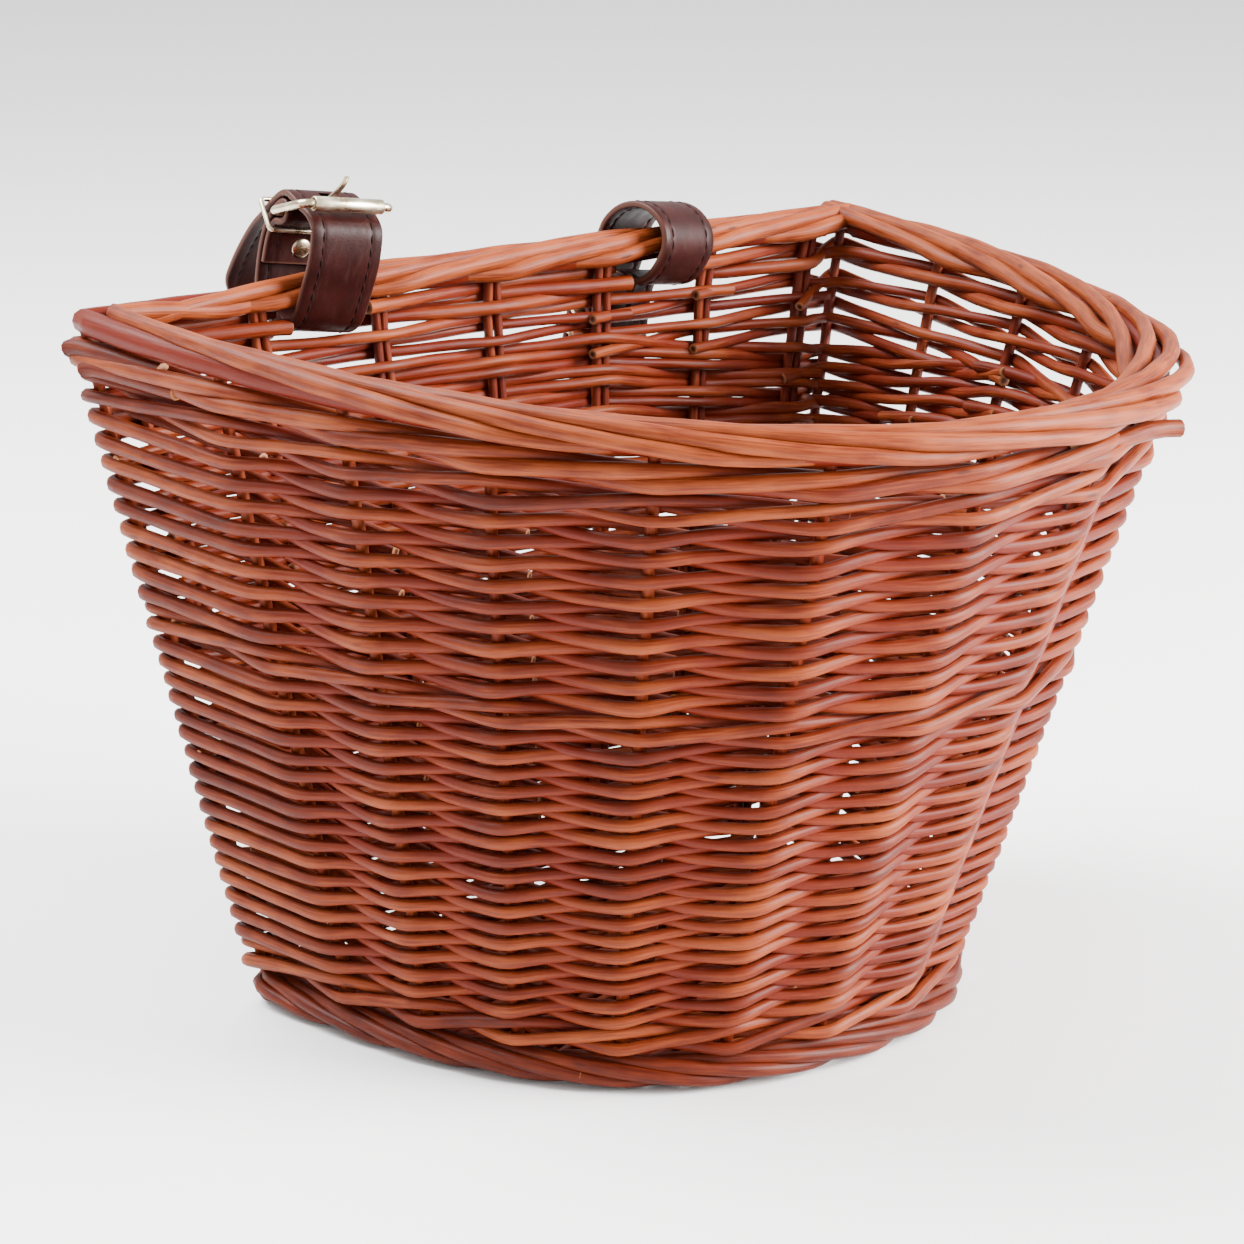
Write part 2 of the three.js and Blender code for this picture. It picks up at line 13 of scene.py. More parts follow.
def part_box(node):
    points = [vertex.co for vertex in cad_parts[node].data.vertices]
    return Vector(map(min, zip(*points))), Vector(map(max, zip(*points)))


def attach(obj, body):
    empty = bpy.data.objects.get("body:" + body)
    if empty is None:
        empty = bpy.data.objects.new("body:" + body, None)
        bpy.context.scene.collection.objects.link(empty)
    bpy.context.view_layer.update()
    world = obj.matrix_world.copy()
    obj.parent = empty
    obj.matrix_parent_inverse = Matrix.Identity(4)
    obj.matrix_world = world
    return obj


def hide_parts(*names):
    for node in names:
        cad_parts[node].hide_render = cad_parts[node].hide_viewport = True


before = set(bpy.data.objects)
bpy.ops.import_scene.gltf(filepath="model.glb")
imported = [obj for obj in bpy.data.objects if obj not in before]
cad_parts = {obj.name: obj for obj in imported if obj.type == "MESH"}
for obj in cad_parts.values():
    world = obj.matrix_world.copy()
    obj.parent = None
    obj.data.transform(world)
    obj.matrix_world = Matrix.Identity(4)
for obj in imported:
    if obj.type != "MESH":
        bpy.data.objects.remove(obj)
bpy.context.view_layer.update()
rng = np.random.default_rng(11)

# ---- Driving dimensions, in millimetres ----
MM = 0.001
RIM = {"half_width": 170, "depth": 265, "squareness": 2.2, "back_y": 0}
RIM_HEIGHT = {"back": 242, "front": 226}
WALL_INSIDE_RIM = 3.5
FOOT = {"half_width": 116, "depth": 169, "squareness": 2.37, "back_y": -19}
RIM_BORDER = {"half_width": 9, "half_height": 7.5}
FOOT_BORDER = {"half_width": 6.5, "half_height": 6.4, "outward": 1}
STRAP_GAP = 8.1
FOOT_TOP = 13.1

FRONT_STAKE_PLACES = np.linspace(0.1, 0.92, 12)
BACK_STAKE_SHARES = np.array([0.9, 0.6, 0.3, 0, -0.3, -0.6, -0.9])
STAKE_RADIUS = 2.1
STAKE_TWIN = {"radius": 1.85, "apart": 3.9}

SWING = 4.5  # from the wall's middle to a rod's centre where it passes a stake
ROD_STEPS = 12  # stations from one stake to the next
ROD_OVERHANG = 9  # past the stake it ends at
ROD_STATION = 3.5  # about how far a rod's stations lie apart
ROD_ENDS = (1.06, 0.92)  # the thickness of a rod's butt and tip, as shares of its own
UNEVEN = {"at_stake": 0.22, "along": 0.2}  # how far a rod strays from its course
WALL_HEIGHT = 205  # of the woven wall, about the same all round
CORNER_EASING = 60  # rounds of smoothing of a border's outward direction
SIDING_PARTS = 4  # nodes that each section of siding is split into
SIDING = {
    "lower": {"low": 0.055, "high": 0.575, "pairs": 17, "outside": 2.35, "inside": 1.85, "between": 1.95},
    "upper": {"low": 0.625, "high": 0.945, "pairs": 9, "outside": 2.55, "inside": 2.0, "between": 2.1},
}
WALES = {
    "foot_wale": {"low": 0.0, "high": 0.055, "radius": 2.2},
    "middle_wale": {"low": 0.575, "high": 0.625, "radius": 2.15},
    "top_wale": {"low": 0.945, "high": 1.0, "radius": 2.1},
}
COLLAR = {"low": 1.002, "high": 1.05, "radius": 2.7}  # the last rods under the rim border
# How far below its course a rod lies outside a stake, and above it inside one.
SAG = {"front": 1.1, "back": 1.2}
# A rod going in between two stakes passes this far above the one that comes out.
CROSSING_LIFT = {"front": 1.9, "back": 0}
# How far above and below their course the two rods of a pair lie.
SPREAD = {"front": 0, "back": 1.75}
# The siding's drop at the right corner, how far round it reaches, and the pitch of the rods packed above it.
DROP = {"depth": 18, "over": 150, "pitch": 4.2}

BORDER_STATION = 4.0
RIM_BORDER_ROD = 2.85
FOOT_BORDER_ROD = 2.5
BACK_RUN = {"interval": 50, "span": 4.8, "first": -4, "beyond": 6}
FRONT_RUN = {"interval": 62, "span": 4.8, "first": 10, "beyond": 9}
FRONT_RUN_LAP = 0.26  # of the back's width, which the front run covers before it turns the left corner
# Where the front run's rods stand off the bundle: at a share of the run, and at the corner in millimetres.
LOOSE_AT_RIGHT = {"at": 0.7, "over": 0.13, "more": 0.5}
LOOSE_AT_CORNER = {"over": 14, "more": 0.45}
CUT_ENDS = [
    {"place": 0.0, "toward": -1, "aside": 2, "below": 8, "away": 0.2, "dip": 0.6, "free": 4, "tint": 0},
    {"place": 0.01, "toward": -1, "aside": 2, "below": 13, "away": 0.2, "dip": 0.7, "free": 4, "tint": 0},
    {"place": 0.59, "toward": 1, "aside": 3, "below": 9, "away": 0.7, "dip": 0.1, "free": 12, "tint": 0.6},
]

BASE_STICKS = {"radius": 2.5, "count": 5, "spacing": 36}
BASE_MIDDLE = 6.6  # the height of the base sticks' middle line
BASE_WEAVE = {"courses": 5, "rods": 9, "radius": 1.9, "swing": 4.2, "inset": 4.5, "last": 0.985}

# Each strap has a frame of its own at the rim border's centre: x across the leather, y towards the handlebar.
STRAP = {"width": 27, "thickness": 2.6, "from_middle": 77, "turn": 7.5, "lean": 7, "wrap_radius": 12.5}
LAP = {"length": 24, "aside": 1.7}
BUCKLE = {"length": 22, "half_width": 17, "wire": 1.5, "corner": 3}
ROLLER = {"inner": 1.9, "outer": 2.6, "half_length": 13.2}
PRONG = {"loop": 2.4, "half_width": 1.5, "length": 24, "raised": 24}
PRONG_SLOT = {"half_width": 2.3, "behind": 4.5, "ahead": 15}
KEEPER = {"along": 7.5, "half_width": 15.2, "wire": 0.9, "inside": -5, "outside": 8, "corner": 1.6}
RIVET = {"along": 18, "post": 1.4, "hole": 1.8, "head": 3.6, "head_thickness": 1.1}
BURR = {"radius": 3, "thickness": 0.7}
GAP = 0.3
STITCH = {"from_edge": 4.3, "pitch": 4.2, "length": 3.1, "radius": 0.38}
TAIL_HOLES = {"radius": 1.7, "from_tip": (15, 27)}
TIP = {"length": 11, "narrowing": 0.82}


# ---- The basket's D ----
class Outline:
    """One level of the D. A place runs from 0 to 1 over its curved front, left corner to right corner, by arc
    length, and from 1 to 2 along its straight back, right corner to left corner."""

    def __init__(self, half_width, depth, squareness, back_y, steps=4000):
        angle = np.pi * np.linspace(0, 1, steps + 1)
        power = 2 / squareness
        self.x = -half_width * np.sign(np.cos(angle)) * np.abs(np.cos(angle)) ** power
        self.y = back_y - depth * np.abs(np.sin(angle)) ** power
        run = np.concatenate([[0], np.cumsum(np.hypot(np.diff(self.x), np.diff(self.y)))])
        self.length = run[-1]
        self.share = run / run[-1]
        self.half_width = half_width
        self.back_y = back_y

    def at(self, places):
        place = np.asarray(places, float) % 2
        front = np.stack([np.interp(place, self.share, self.x), np.interp(place, self.share, self.y)], -1)
        back = np.stack([self.half_width * (3 - 2 * place), np.full_like(place, self.back_y)], -1)
        return np.where((place <= 1)[..., None], front, back)


rim_line = Outline(**RIM)
wall_top = Outline(
    **{**RIM, "half_width": RIM["half_width"] - WALL_INSIDE_RIM, "depth": RIM["depth"] - WALL_INSIDE_RIM}
)
wall_foot = Outline(**FOOT)


def rim_height(y):
    return RIM_HEIGHT["back"] + (RIM_HEIGHT["front"] - RIM_HEIGHT["back"]) * -y / RIM["depth"]


def wall(places, levels):
    """Points of the wall's middle surface, at places round the D and shares of the wall's height."""
    top = wall_top.at(places)
    foot = wall_foot.at(places)
    levels = np.broadcast_to(levels, top.shape[:-1])
    flat = foot + (top - foot) * levels[..., None]
    weave_top = rim_height(top[..., 1]) - RIM_BORDER["half_height"] - STRAP_GAP
    z = FOOT_TOP + (weave_top - FOOT_TOP) * levels
    return np.concatenate([flat, z[..., None]], -1)


def unit(vectors):
    return vectors / np.linalg.norm(vectors, axis=-1, keepdims=True)


def outward(point_at, places, step=1e-3):
    """Level outward directions, and at a corner the mitre of its two sides."""
    here = point_at(places)[..., :2]
    before = point_at(places - step)[..., :2] - here
    after = point_at(places + step)[..., :2] - here
    side_a = unit(np.stack([-before[..., 1], before[..., 0]], -1))
    side_b = unit(np.stack([after[..., 1], -after[..., 0]], -1))
    mitre = unit(side_a + side_b)
    stretch = 1 / np.maximum((mitre * side_a).sum(-1, keepdims=True), 0.7)
    return np.concatenate([mitre * stretch, np.zeros_like(mitre[..., :1])], -1)


STAKES = np.concatenate([[0], FRONT_STAKE_PLACES, [1], 1 + (1 - BACK_STAKE_SHARES) / 2])
STAKE_COUNT = len(STAKES)
RIGHT_CORNER = len(FRONT_STAKE_PLACES) + 1
stake_out = outward(lambda places: wall(places, 0.5), STAKES)
IN_BACK = STAKES > 1
STAKE_SAG, STAKE_LIFT, STAKE_SPREAD = (
    np.where(IN_BACK, facts["back"], facts["front"]) for facts in (SAG, CROSSING_LIFT, SPREAD)
)
# The first stake and the count of stretches of each run of the collar, which the straps interrupt.
COLLAR_RUNS = ((RIGHT_CORNER + 6, STAKE_COUNT - 4), (RIGHT_CORNER + 3, 2))


def weave_sides():
    """+1 where the first rod of a pair passes outside a stake, and -1 where it passes inside. Two
    neighbours are passed on the same side, which leaves an even number of turns round the basket."""
    sides = [1]
    for i in range(1, STAKE_COUNT):
        same = i in (1, RIGHT_CORNER + 1)
        sides.append(sides[-1] if same else -sides[-1])
    return np.array(sides)


SIDES = weave_sides()

# ---- Meshes ----
floor_shift = np.array([0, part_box("rim_border")[1].y / MM - RIM_BORDER["half_width"], 0])


def to_world(points):
    return (np.asarray(points, float) + floor_shift) * MM


def ripple(run, size, wavelengths=(31, 67, 149)):
    """A smooth wander along a rod, of about the given size."""
    waves = [np.sin(2 * np.pi * (run / w + rng.random())) for w in wavelengths]
    return size * sum(waves) / 1.7


def softened(path, rounds=2):
    """The path with its bends eased, its ends kept."""
    path = path.copy()
    for _ in range(rounds):
        path[1:-1] = (path[:-2] + 2 * path[1:-1] + path[2:]) / 4
    return path


def ring_faces(rings, size, closed=False):
    """Quads between rings of points, each joined to the next, and the last to the first if closed."""
    i, j = np.meshgrid(np.arange(rings if closed else rings - 1), np.arange(size), indexing="ij")
    after_i = (i + 1) % rings * size
    after_j = (j + 1) % size
    return np.stack([i * size + j, after_i + j, after_i + after_j, i * size + after_j], -1).reshape(-1, 4)


class Bundle:
    """Rods gathered into one mesh. Each point keeps its place in its own straightened rod, for the grain,
    with the rod's tint, its painted crevice shade from how deep it lies in the weave, and whether it's on a
    cut end."""

    def __init__(self):
        self.points = []
        self.faces = []
        self.marks = {"grain": [], "tint": [], "crevice_shade": [], "cut": []}
        self.count = 0

    def _add(self, points, faces, grain, tint, crevice_shade, cut):
        self.points.append(points)
        self.faces.extend((np.asarray(f) + self.count).tolist() for f in faces)
        size = len(points)
        self.marks["grain"].append(grain)
        self.marks["tint"].append(np.full(size, tint))
        self.marks["crevice_shade"].append(np.broadcast_to(crevice_shade, size))
        self.marks["cut"].append(np.broadcast_to(cut, size))
        self.count += size

    def rod(self, path, side_radius, up_radius=None, up=(0, 0, 1), crevice_shade=0, sides=10, tint=None, wander=0.05):
        """A rod along path, wider and narrower as a willow rod is, with cut ends. Its painted crevice shade
        is set by how deep it lies, as a share or as a function of the distance across the rod."""
        path = np.asarray(path, float)
        run = np.concatenate([[0], np.cumsum(np.linalg.norm(np.diff(path, axis=0), axis=1))])
        forward = unit(np.gradient(path, axis=0))
        side = unit(np.cross(forward, up))
        top = np.cross(side, forward)
        swell = 1 + ripple(run, wander)
        side_radius = np.broadcast_to(side_radius, len(path)) * swell
        up_radius = side_radius if up_radius is None else np.broadcast_to(up_radius, len(path)) * swell
        angle = 2 * np.pi * np.arange(sides) / sides
        across = side_radius[:, None] * np.cos(angle)
        rise = up_radius[:, None] * np.sin(angle)
        rings = path[:, None] + side[:, None] * across[..., None] + top[:, None] * rise[..., None]
        offset = rng.random(3) * 900
        grain = np.stack([np.broadcast_to(run[:, None], across.shape), across, rise], -1) + offset
        tint = rng.random() if tint is None else tint
        quads = ring_faces(len(path), sides)
        depth = crevice_shade(across) if callable(crevice_shade) else np.broadcast_to(crevice_shade, across.shape)
        self._add(rings.reshape(-1, 3), quads, grain.reshape(-1, 3), tint, depth.reshape(-1), 0)
        for end, out in ((0, -forward[0]), (-1, forward[-1])):
            self._cap(rings[end], path[end], out, grain[end], tint, sides)

    def _cap(self, ring, centre, out, grain, tint, sides):
        radius = np.linalg.norm(ring - centre, axis=1).mean()
        inner = centre + (ring - centre) * 0.8 + out * radius * 0.12
        points = np.concatenate([ring, inner, [centre + out * radius * 0.12]])
        k = np.arange(sides)
        after = (k + 1) % sides
        rim = np.stack([k, after, after + sides, k + sides], -1)
        fan = np.stack([k + sides, after + sides, np.full(sides, 2 * sides)], -1)
        if np.dot(np.cross(ring[1] - ring[0], ring[0] - centre), out) > 0:
            rim, fan = rim[:, ::-1], fan[:, ::-1]
        cut = np.concatenate([np.ones(2 * sides), [2]])
        marks = np.concatenate([grain, grain, [grain.mean(0)]])
        self._add(points, [*rim, *fan], marks, tint, 0, cut)

    def make(self, name, material, body, replaced=(), slot="willow"):
        mesh = bpy.data.meshes.new(name)
        mesh.from_pydata(to_world(np.concatenate(self.points)), [], self.faces)
        mesh.polygons.foreach_set("use_smooth", [True] * len(mesh.polygons))
        for mark, values in self.marks.items():
            values = np.concatenate(values)
            mark_points(mesh, mark, values)
        mesh.validate()
        return add_piece(name, mesh, material, body, replaced)


def mark_points(mesh, mark, values):
    """A number or a vector for each point, which the materials read."""
    kind, field = ("FLOAT_VECTOR", "vector") if values.ndim == 2 else ("FLOAT", "value")
    mesh.attributes.new(mark, kind, "POINT").data.foreach_set(field, values.astype(np.float32).ravel())


def add_piece(name, mesh, material, body, replaced):
    piece = bpy.data.objects.new(name, mesh)
    bpy.context.scene.collection.objects.link(piece)
    mesh.materials.append(material)
    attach(piece, body)
    if replaced:
        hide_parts(*replaced)
    return piece


# ---- Materials ----
class Shader:
    """A Principled material, with short calls for the nodes that feed it."""

    def __init__(self, name, **sockets):
        self.material = bpy.data.materials.new(name)
        self.material.use_nodes = True
        self.tree = self.material.node_tree
        self.out = self.tree.nodes["Principled BSDF"]
        for socket, value in sockets.items():
            self.out.inputs[socket.replace("_", " ")].default_value = value

    def node(self, kind, inputs=None, **settings):
        node = self.tree.nodes.new(kind)
        for key, value in settings.items():
            setattr(node, key, value)
        for key, value in (inputs or {}).items():
            self.set(node.inputs[key], value)
        return node

    def set(self, socket, value):
        if isinstance(value, bpy.types.NodeSocket):
            self.tree.links.new(value, socket)
        else:
            socket.default_value = value

    def attribute(self, name):
        return self.node("ShaderNodeAttribute", attribute_name=name)

    def noise(self, vector, scale, detail=3.0, stretch=(1, 1, 1)):
        mapped = self.node("ShaderNodeMapping", {"Vector": vector, "Scale": stretch})
        return self.node(
            "ShaderNodeTexNoise", {"Vector": mapped.outputs["Vector"], "Scale": scale, "Detail": detail}
        ).outputs["Fac"]

    def ramp(self, factor, *stops):
        node = self.node("ShaderNodeValToRGB", {"Fac": factor})
        elements = node.color_ramp.elements
        while len(elements) < len(stops):
            elements.new(0.5)
        for element, (position, color) in zip(elements, stops):
            element.position = position
            element.color = (*color, 1) if len(color) == 3 else color
        return node.outputs["Color"]

    def span(self, value, low, high, to_low=0.0, to_high=1.0):
        inputs = {"Value": value, "From Min": low, "From Max": high, "To Min": to_low, "To Max": to_high}
        return self.node("ShaderNodeMapRange", inputs).outputs["Result"]

    def mix(self, factor, a, b, blend="MIX"):
        node = self.node("ShaderNodeMix", data_type="RGBA", blend_type=blend)
        self.set(node.inputs["Factor"], factor)
        self.set(node.inputs[6], a)
        self.set(node.inputs[7], b)
        return node.outputs[2]

    def math(self, operation, a, b):
        return self.node("ShaderNodeMath", {0: a, 1: b}, operation=operation).outputs["Value"]

    def bump(self, height, strength, distance):
        inputs = {"Height": height, "Strength": strength, "Distance": distance}
        self.set(self.out.inputs["Normal"], self.node("ShaderNodeBump", inputs).outputs["Normal"])

    def feed(self, **sockets):
        for socket, value in sockets.items():
            self.set(self.out.inputs[socket.replace("_", " ")], value)
        return self.material


def willow_material():
    """Stained willow: fine streaks along each rod, a tint for each, and dark red painted shade in the
    crevices.
    """
    shader = Shader("stained_willow", Coat_Weight=0.07, Coat_Roughness=0.32, Specular_IOR_Level=0.12)
    grain = shader.attribute("grain").outputs["Vector"]
    tint = shader.attribute("tint").outputs["Fac"]
    crevice_shade = shader.attribute("crevice_shade").outputs["Fac"]
    cut = shader.attribute("cut").outputs["Fac"]
    fibre = shader.noise(grain, 1.3, 5.0, (0.05, 1, 1))
    patch = shader.noise(grain, 0.09, 3.0, (0.6, 1, 1))
    shade = shader.math("ADD", shader.math("MULTIPLY", fibre, 0.62), shader.math("MULTIPLY", patch, 0.5))
    # The tint carries each rod's random tone, and for the borders also painted light on the rim and painted
    # shade on the foot.
    shade = shader.math("ADD", shade, shader.span(tint, 0, 1, -0.2, 0.08))
    dark, middle, light = (0.047, 0.0038, 0.0005), (0.1, 0.0122, 0.002), (0.22, 0.045, 0.0105)
    color = shader.ramp(shade, (0.25, dark), (0.47, middle), (0.72, light))
    stretched = shader.node("ShaderNodeMapping", {"Vector": grain, "Scale": (0.03, 0.12, 0.12)}).outputs[0]
    scars = shader.node("ShaderNodeTexVoronoi", {"Vector": stretched, "Scale": 1.0}).outputs["Distance"]
    color = shader.mix(shader.span(scars, 0.05, 0.1, 0.7, 0), color, (0.03, 0.006, 0.002, 1))
    # Painted shade: a dark red mixed in where a rod lies deep in the weave.
    color = shader.mix(shader.math("MULTIPLY", crevice_shade, 0.75), color, (0.1, 0.0055, 0.0007, 1))
    toward_pith = shader.math("SUBTRACT", cut, 1.0)
    pith = shader.ramp(toward_pith, (0.0, (0.3, 0.12, 0.05)), (0.6, (0.05, 0.012, 0.006)))
    color = shader.mix(shader.span(cut, 0, 1), color, pith)
    shader.bump(shader.math("ADD", fibre, patch), 0.6, 0.0005)
    return shader.feed(Base_Color=color, Roughness=shader.span(fibre, 0.3, 0.7, 0.42, 0.6))


def leather_material():
    """Dark bridle leather, with pores and creases on its faces and lighter raw cut edges."""
    shader = Shader("dark_leather", Coat_Weight=0.02, Coat_Roughness=0.35, Specular_IOR_Level=0.12)
    grain = shader.attribute("grain").outputs["Vector"]
    edge = shader.attribute("cut").outputs["Fac"]
    pores = shader.node("ShaderNodeTexVoronoi", {"Vector": grain, "Scale": 1.6}).outputs["Distance"]
    cloud = shader.noise(grain, 0.12, 4.0)
    crease = shader.noise(grain, 0.5, 5.0, (0.35, 1, 1))
    color = shader.ramp(cloud, (0.3, (0.013, 0.0018, 0.0014)), (0.7, (0.025, 0.0038, 0.003)))
    color = shader.mix(shader.span(crease, 0.55, 0.75, 0, 0.3), color, (0.045, 0.014, 0.011, 1))
    color = shader.mix(shader.span(edge, 0, 1, 0, 0.8), color, (0.09, 0.035, 0.024, 1))
    height = shader.math("ADD", shader.math("MULTIPLY", pores, 0.6), crease)
    shader.bump(height, 0.25, 0.0002)
    return shader.feed(Base_Color=color, Roughness=shader.span(crease, 0.3, 0.7, 0.38, 0.55))


def thread_material():
    shader = Shader("waxed_thread", Specular_IOR_Level=0.1)
    twist = shader.noise(shader.attribute("grain").outputs["Vector"], 2.4, 2.0)
    color = shader.ramp(twist, (0.3, (0.005, 0.0015, 0.0012)), (0.7, (0.014, 0.005, 0.004)))
    shader.bump(twist, 0.4, 0.0001)
    return shader.feed(Base_Color=color, Roughness=shader.span(twist, 0.3, 0.7, 0.5, 0.75))


def metal_material():
    """Pale plated brass, a little scratched and dulled."""
    shader = Shader("pale_brass", Metallic=1.0)
    place = shader.node("ShaderNodeTexCoord").outputs["Object"]
    scratch = shader.noise(place, 900, 3.0, (1, 0.12, 1))
    dull = shader.noise(place, 160, 3.0)
    color = shader.ramp(dull, (0.35, (0.5, 0.4, 0.26)), (0.65, (0.78, 0.69, 0.52)))
    shader.bump(scratch, 0.12, 0.00008)
    return shader.feed(Base_Color=color, Roughness=shader.span(dull, 0.3, 0.7, 0.2, 0.42))


WILLOW = willow_material()
LEATHER = leather_material()
THREAD = thread_material()
METAL = metal_material()


# ---- Weave ----
def woven_path(knots, lifts):
    """A path through rows of x, y, z and swing: straight between stakes, lifted there, and eased."""
    share = np.arange(ROD_STEPS) / ROD_STEPS
    start, end = knots[:-1], knots[1:]
    path = start[:, None] + (end - start)[:, None] * share[None, :, None]
    path[..., 2] += np.asarray(lifts)[:, None] * np.sin(np.pi * share)
    return softened(np.concatenate([path.reshape(-1, 4), end[-1:]]))


def drop(level):
    """How far below its course the siding lies at each stake: most at the right corner and near the rim."""
    run = np.where(STAKES <= 1, wall_top.length, 2 * RIM["half_width"])
    away = np.clip(np.abs(STAKES - 1) * run / DROP["over"], 0, 1)
    return DROP["depth"] * np.cos(np.pi / 2 * away) ** 2 * level**2


def woven_rod(bundle, first, count, levels, sides, heights, lifts, radii):
    """A rod past count + 1 stakes from the first one. levels, sides, heights and lifts say where it passes
    each stake and how far it rises on its way to the next."""
    index = (first + np.arange(count + 1)) % STAKE_COUNT
    swings = sides[index] * SWING
    points = wall(STAKES[index], levels[index]) + stake_out[index] * swings[:, None]
    points[:, 2] += heights[index] + rng.normal(0, UNEVEN["at_stake"], len(index))
    knots = np.concatenate([points, swings[:, None]], 1)
    for end, inner in ((0, 1), (-1, -2)):
        along = unit(knots[end, :3] - knots[inner, :3])
        knots[end, :3] += along * ROD_OVERHANG
    path = woven_path(knots, lifts[index[:-1]])
    between = radii["between"]
    at_stake = np.where(path[:, 3] > 0, radii["outside"], radii["inside"])
    up_radius = between + (at_stake - between) * (path[:, 3] / SWING) ** 2
    taper = np.linspace(*rng.permutation(ROD_ENDS), len(path))
    path[:, 2] += ripple(np.arange(len(path)) * ROD_STATION, UNEVEN["along"])
    reach = SWING + between

    # Painted shade, darkest where the rod's surface lies nearest the middle of the wall.
    def crevice_shade(across):
        return np.clip(1 - np.abs(path[:, 3:4] + across) / reach, 0, 1)

    bundle.rod(path[:, :3], between * taper, up_radius * taper, crevice_shade=crevice_shade)


def ring_of_rods(bundle, levels, sides, heights, lifts, radii):
    """A ring of two rods, each with both ends tucked inside the basket."""
    inside = np.flatnonzero(sides < 0)
    first = rng.choice(inside)
    second = inside[np.argmin(np.abs((inside - first) % STAKE_COUNT - STAKE_COUNT / 2))]
    for start, end in ((first, second), (second, first)):
        woven_rod(bundle, start, (end - start) % STAKE_COUNT, levels, sides, heights, lifts, radii)


def add_siding(section, facts):
    """Pairs of rods at one level, one inside each stake where the other is outside."""
    bundles = [Bundle() for _ in range(SIDING_PARTS)]
    for pair in range(facts["pairs"]):
        share = (pair + 0.5) / facts["pairs"]
        level = facts["low"] + (facts["high"] - facts["low"]) * share
        bundle = bundles[int(share * SIDING_PARTS)]
        for phase in (1, -1):
            sides = SIDES * phase * (1 if pair % 2 else -1)
            lifts = np.where(sides == np.roll(sides, -1), 0, STAKE_LIFT * sides)
            heights = STAKE_SPREAD * phase - STAKE_SAG * sides
            ring_of_rods(bundle, level - drop(level) / WALL_HEIGHT, sides, heights, lifts, facts)
    if section == "upper":
        add_packing(bundles[-1], facts)
    for i, bundle in enumerate(bundles):
        node = f"{section}_siding_{i + 1}"
        bundle.make(f"{node}_rods", WILLOW, "basket", [node])


def add_packing(bundle, facts):
    """Short rods woven into the wedge between the dropped siding and the top wale."""
    top = facts["high"]
    for row in range(int(DROP["depth"] * top**2 / DROP["pitch"])):
        depth = (row + 0.5) * DROP["pitch"]
        crossed = np.flatnonzero(drop(top) > depth)
        first, last = crossed[0] - 1, crossed[-1] + 1
        levels = np.full(STAKE_COUNT, top - depth / WALL_HEIGHT)
        level_run = np.zeros(STAKE_COUNT)
        woven_rod(bundle, first, last - first, levels, SIDES * (-1) ** row, level_run, level_run, facts)


def wale_rods(facts):
    """The three rods of a wale, each in front of two stakes and behind the third. In front a rod climbs as it
    goes, and in the back the three lie level, one above the other."""
    height = (facts["high"] - facts["low"]) * WALL_HEIGHT
    rise = height / 2 - facts["radius"]
    for rod in range(3):
        step = (np.arange(STAKE_COUNT) + rod) % 3
        sides = np.where(step == 2, -1, 1)
        climbing = np.choose(step, [-rise, rise, 0.15 * rise])
        heights = np.where(IN_BACK, (rod - 1) * height / 3, climbing)
        lifts = np.where(IN_BACK, 0, np.choose(step, [0.0, 0.8, -0.8]))
        yield sides, heights, lifts


def wale_radii(facts):
    return {"outside": facts["radius"], "inside": facts["radius"], "between": 0.95 * facts["radius"]}


def add_wale(name, facts):
    bundle = Bundle()
    level = (facts["low"] + facts["high"]) / 2
    dropped = 0 if name == "top_wale" else drop(level)
    levels = np.full(STAKE_COUNT, level) - dropped / WALL_HEIGHT
    for sides, heights, lifts in wale_rods(facts):
        ring_of_rods(bundle, levels, sides, heights, lifts, wale_radii(facts))
    if name == "top_wale":
        add_collar(bundle)
    bundle.make(f"{name}_rods", WILLOW, "basket", [name])


def add_collar(bundle):
    """A last wale close under the rim border, in one run round the front and one between the straps."""
    levels = np.full(STAKE_COUNT, (COLLAR["low"] + COLLAR["high"]) / 2)
    for sides, heights, lifts in wale_rods(COLLAR):
        for first, count in COLLAR_RUNS:
            woven_rod(bundle, first, count, levels, sides, heights, lifts, wale_radii(COLLAR))


def stake_path(place):
    """Up the wall's middle from inside the foot border, and on into the rim border."""
    levels = np.linspace(-0.045, 1, 26)
    points = wall(np.full(len(levels), place), levels)
    rim_point = rim_line.at(np.array([place]))[0]
    tip = np.array([[*rim_point, rim_height(rim_point[1]) - 1]])
    return np.concatenate([points, (points[-1:] + tip) / 2, tip])


def add_stakes():
    """One rod for each stake in front, and two side by side in the back."""
    half_apart = STAKE_TWIN["apart"] / 2
    for i, place in enumerate(STAKES):
        points = stake_path(place)
        along = unit(np.array([-stake_out[i, 1], stake_out[i, 0], 0]))
        radius = STAKE_TWIN["radius"] if IN_BACK[i] else STAKE_RADIUS
        taper = np.linspace(1.05, 0.95, len(points))
        bundle = Bundle()
        for offset in (-half_apart, half_apart) if IN_BACK[i] else (0,):
            bend = ripple(np.arange(len(points)) * 8.0, 0.35)[:, None] * along
            # The stakes get an even painted shade.
            bundle.rod(points + along * offset + bend, radius * taper, up=along, crevice_shade=0.35)
        node = stake_node(i)
        bundle.make(f"{node}_rods", WILLOW, "basket", [node])


def stake_node(i):
    if i == 0:
        return "corner_stake_left"
    if i == RIGHT_CORNER:
        return "corner_stake_right"
    if i > RIGHT_CORNER:
        return f"back_stake_pair_{i - RIGHT_CORNER}"
    return f"front_stake_{i:02d}"


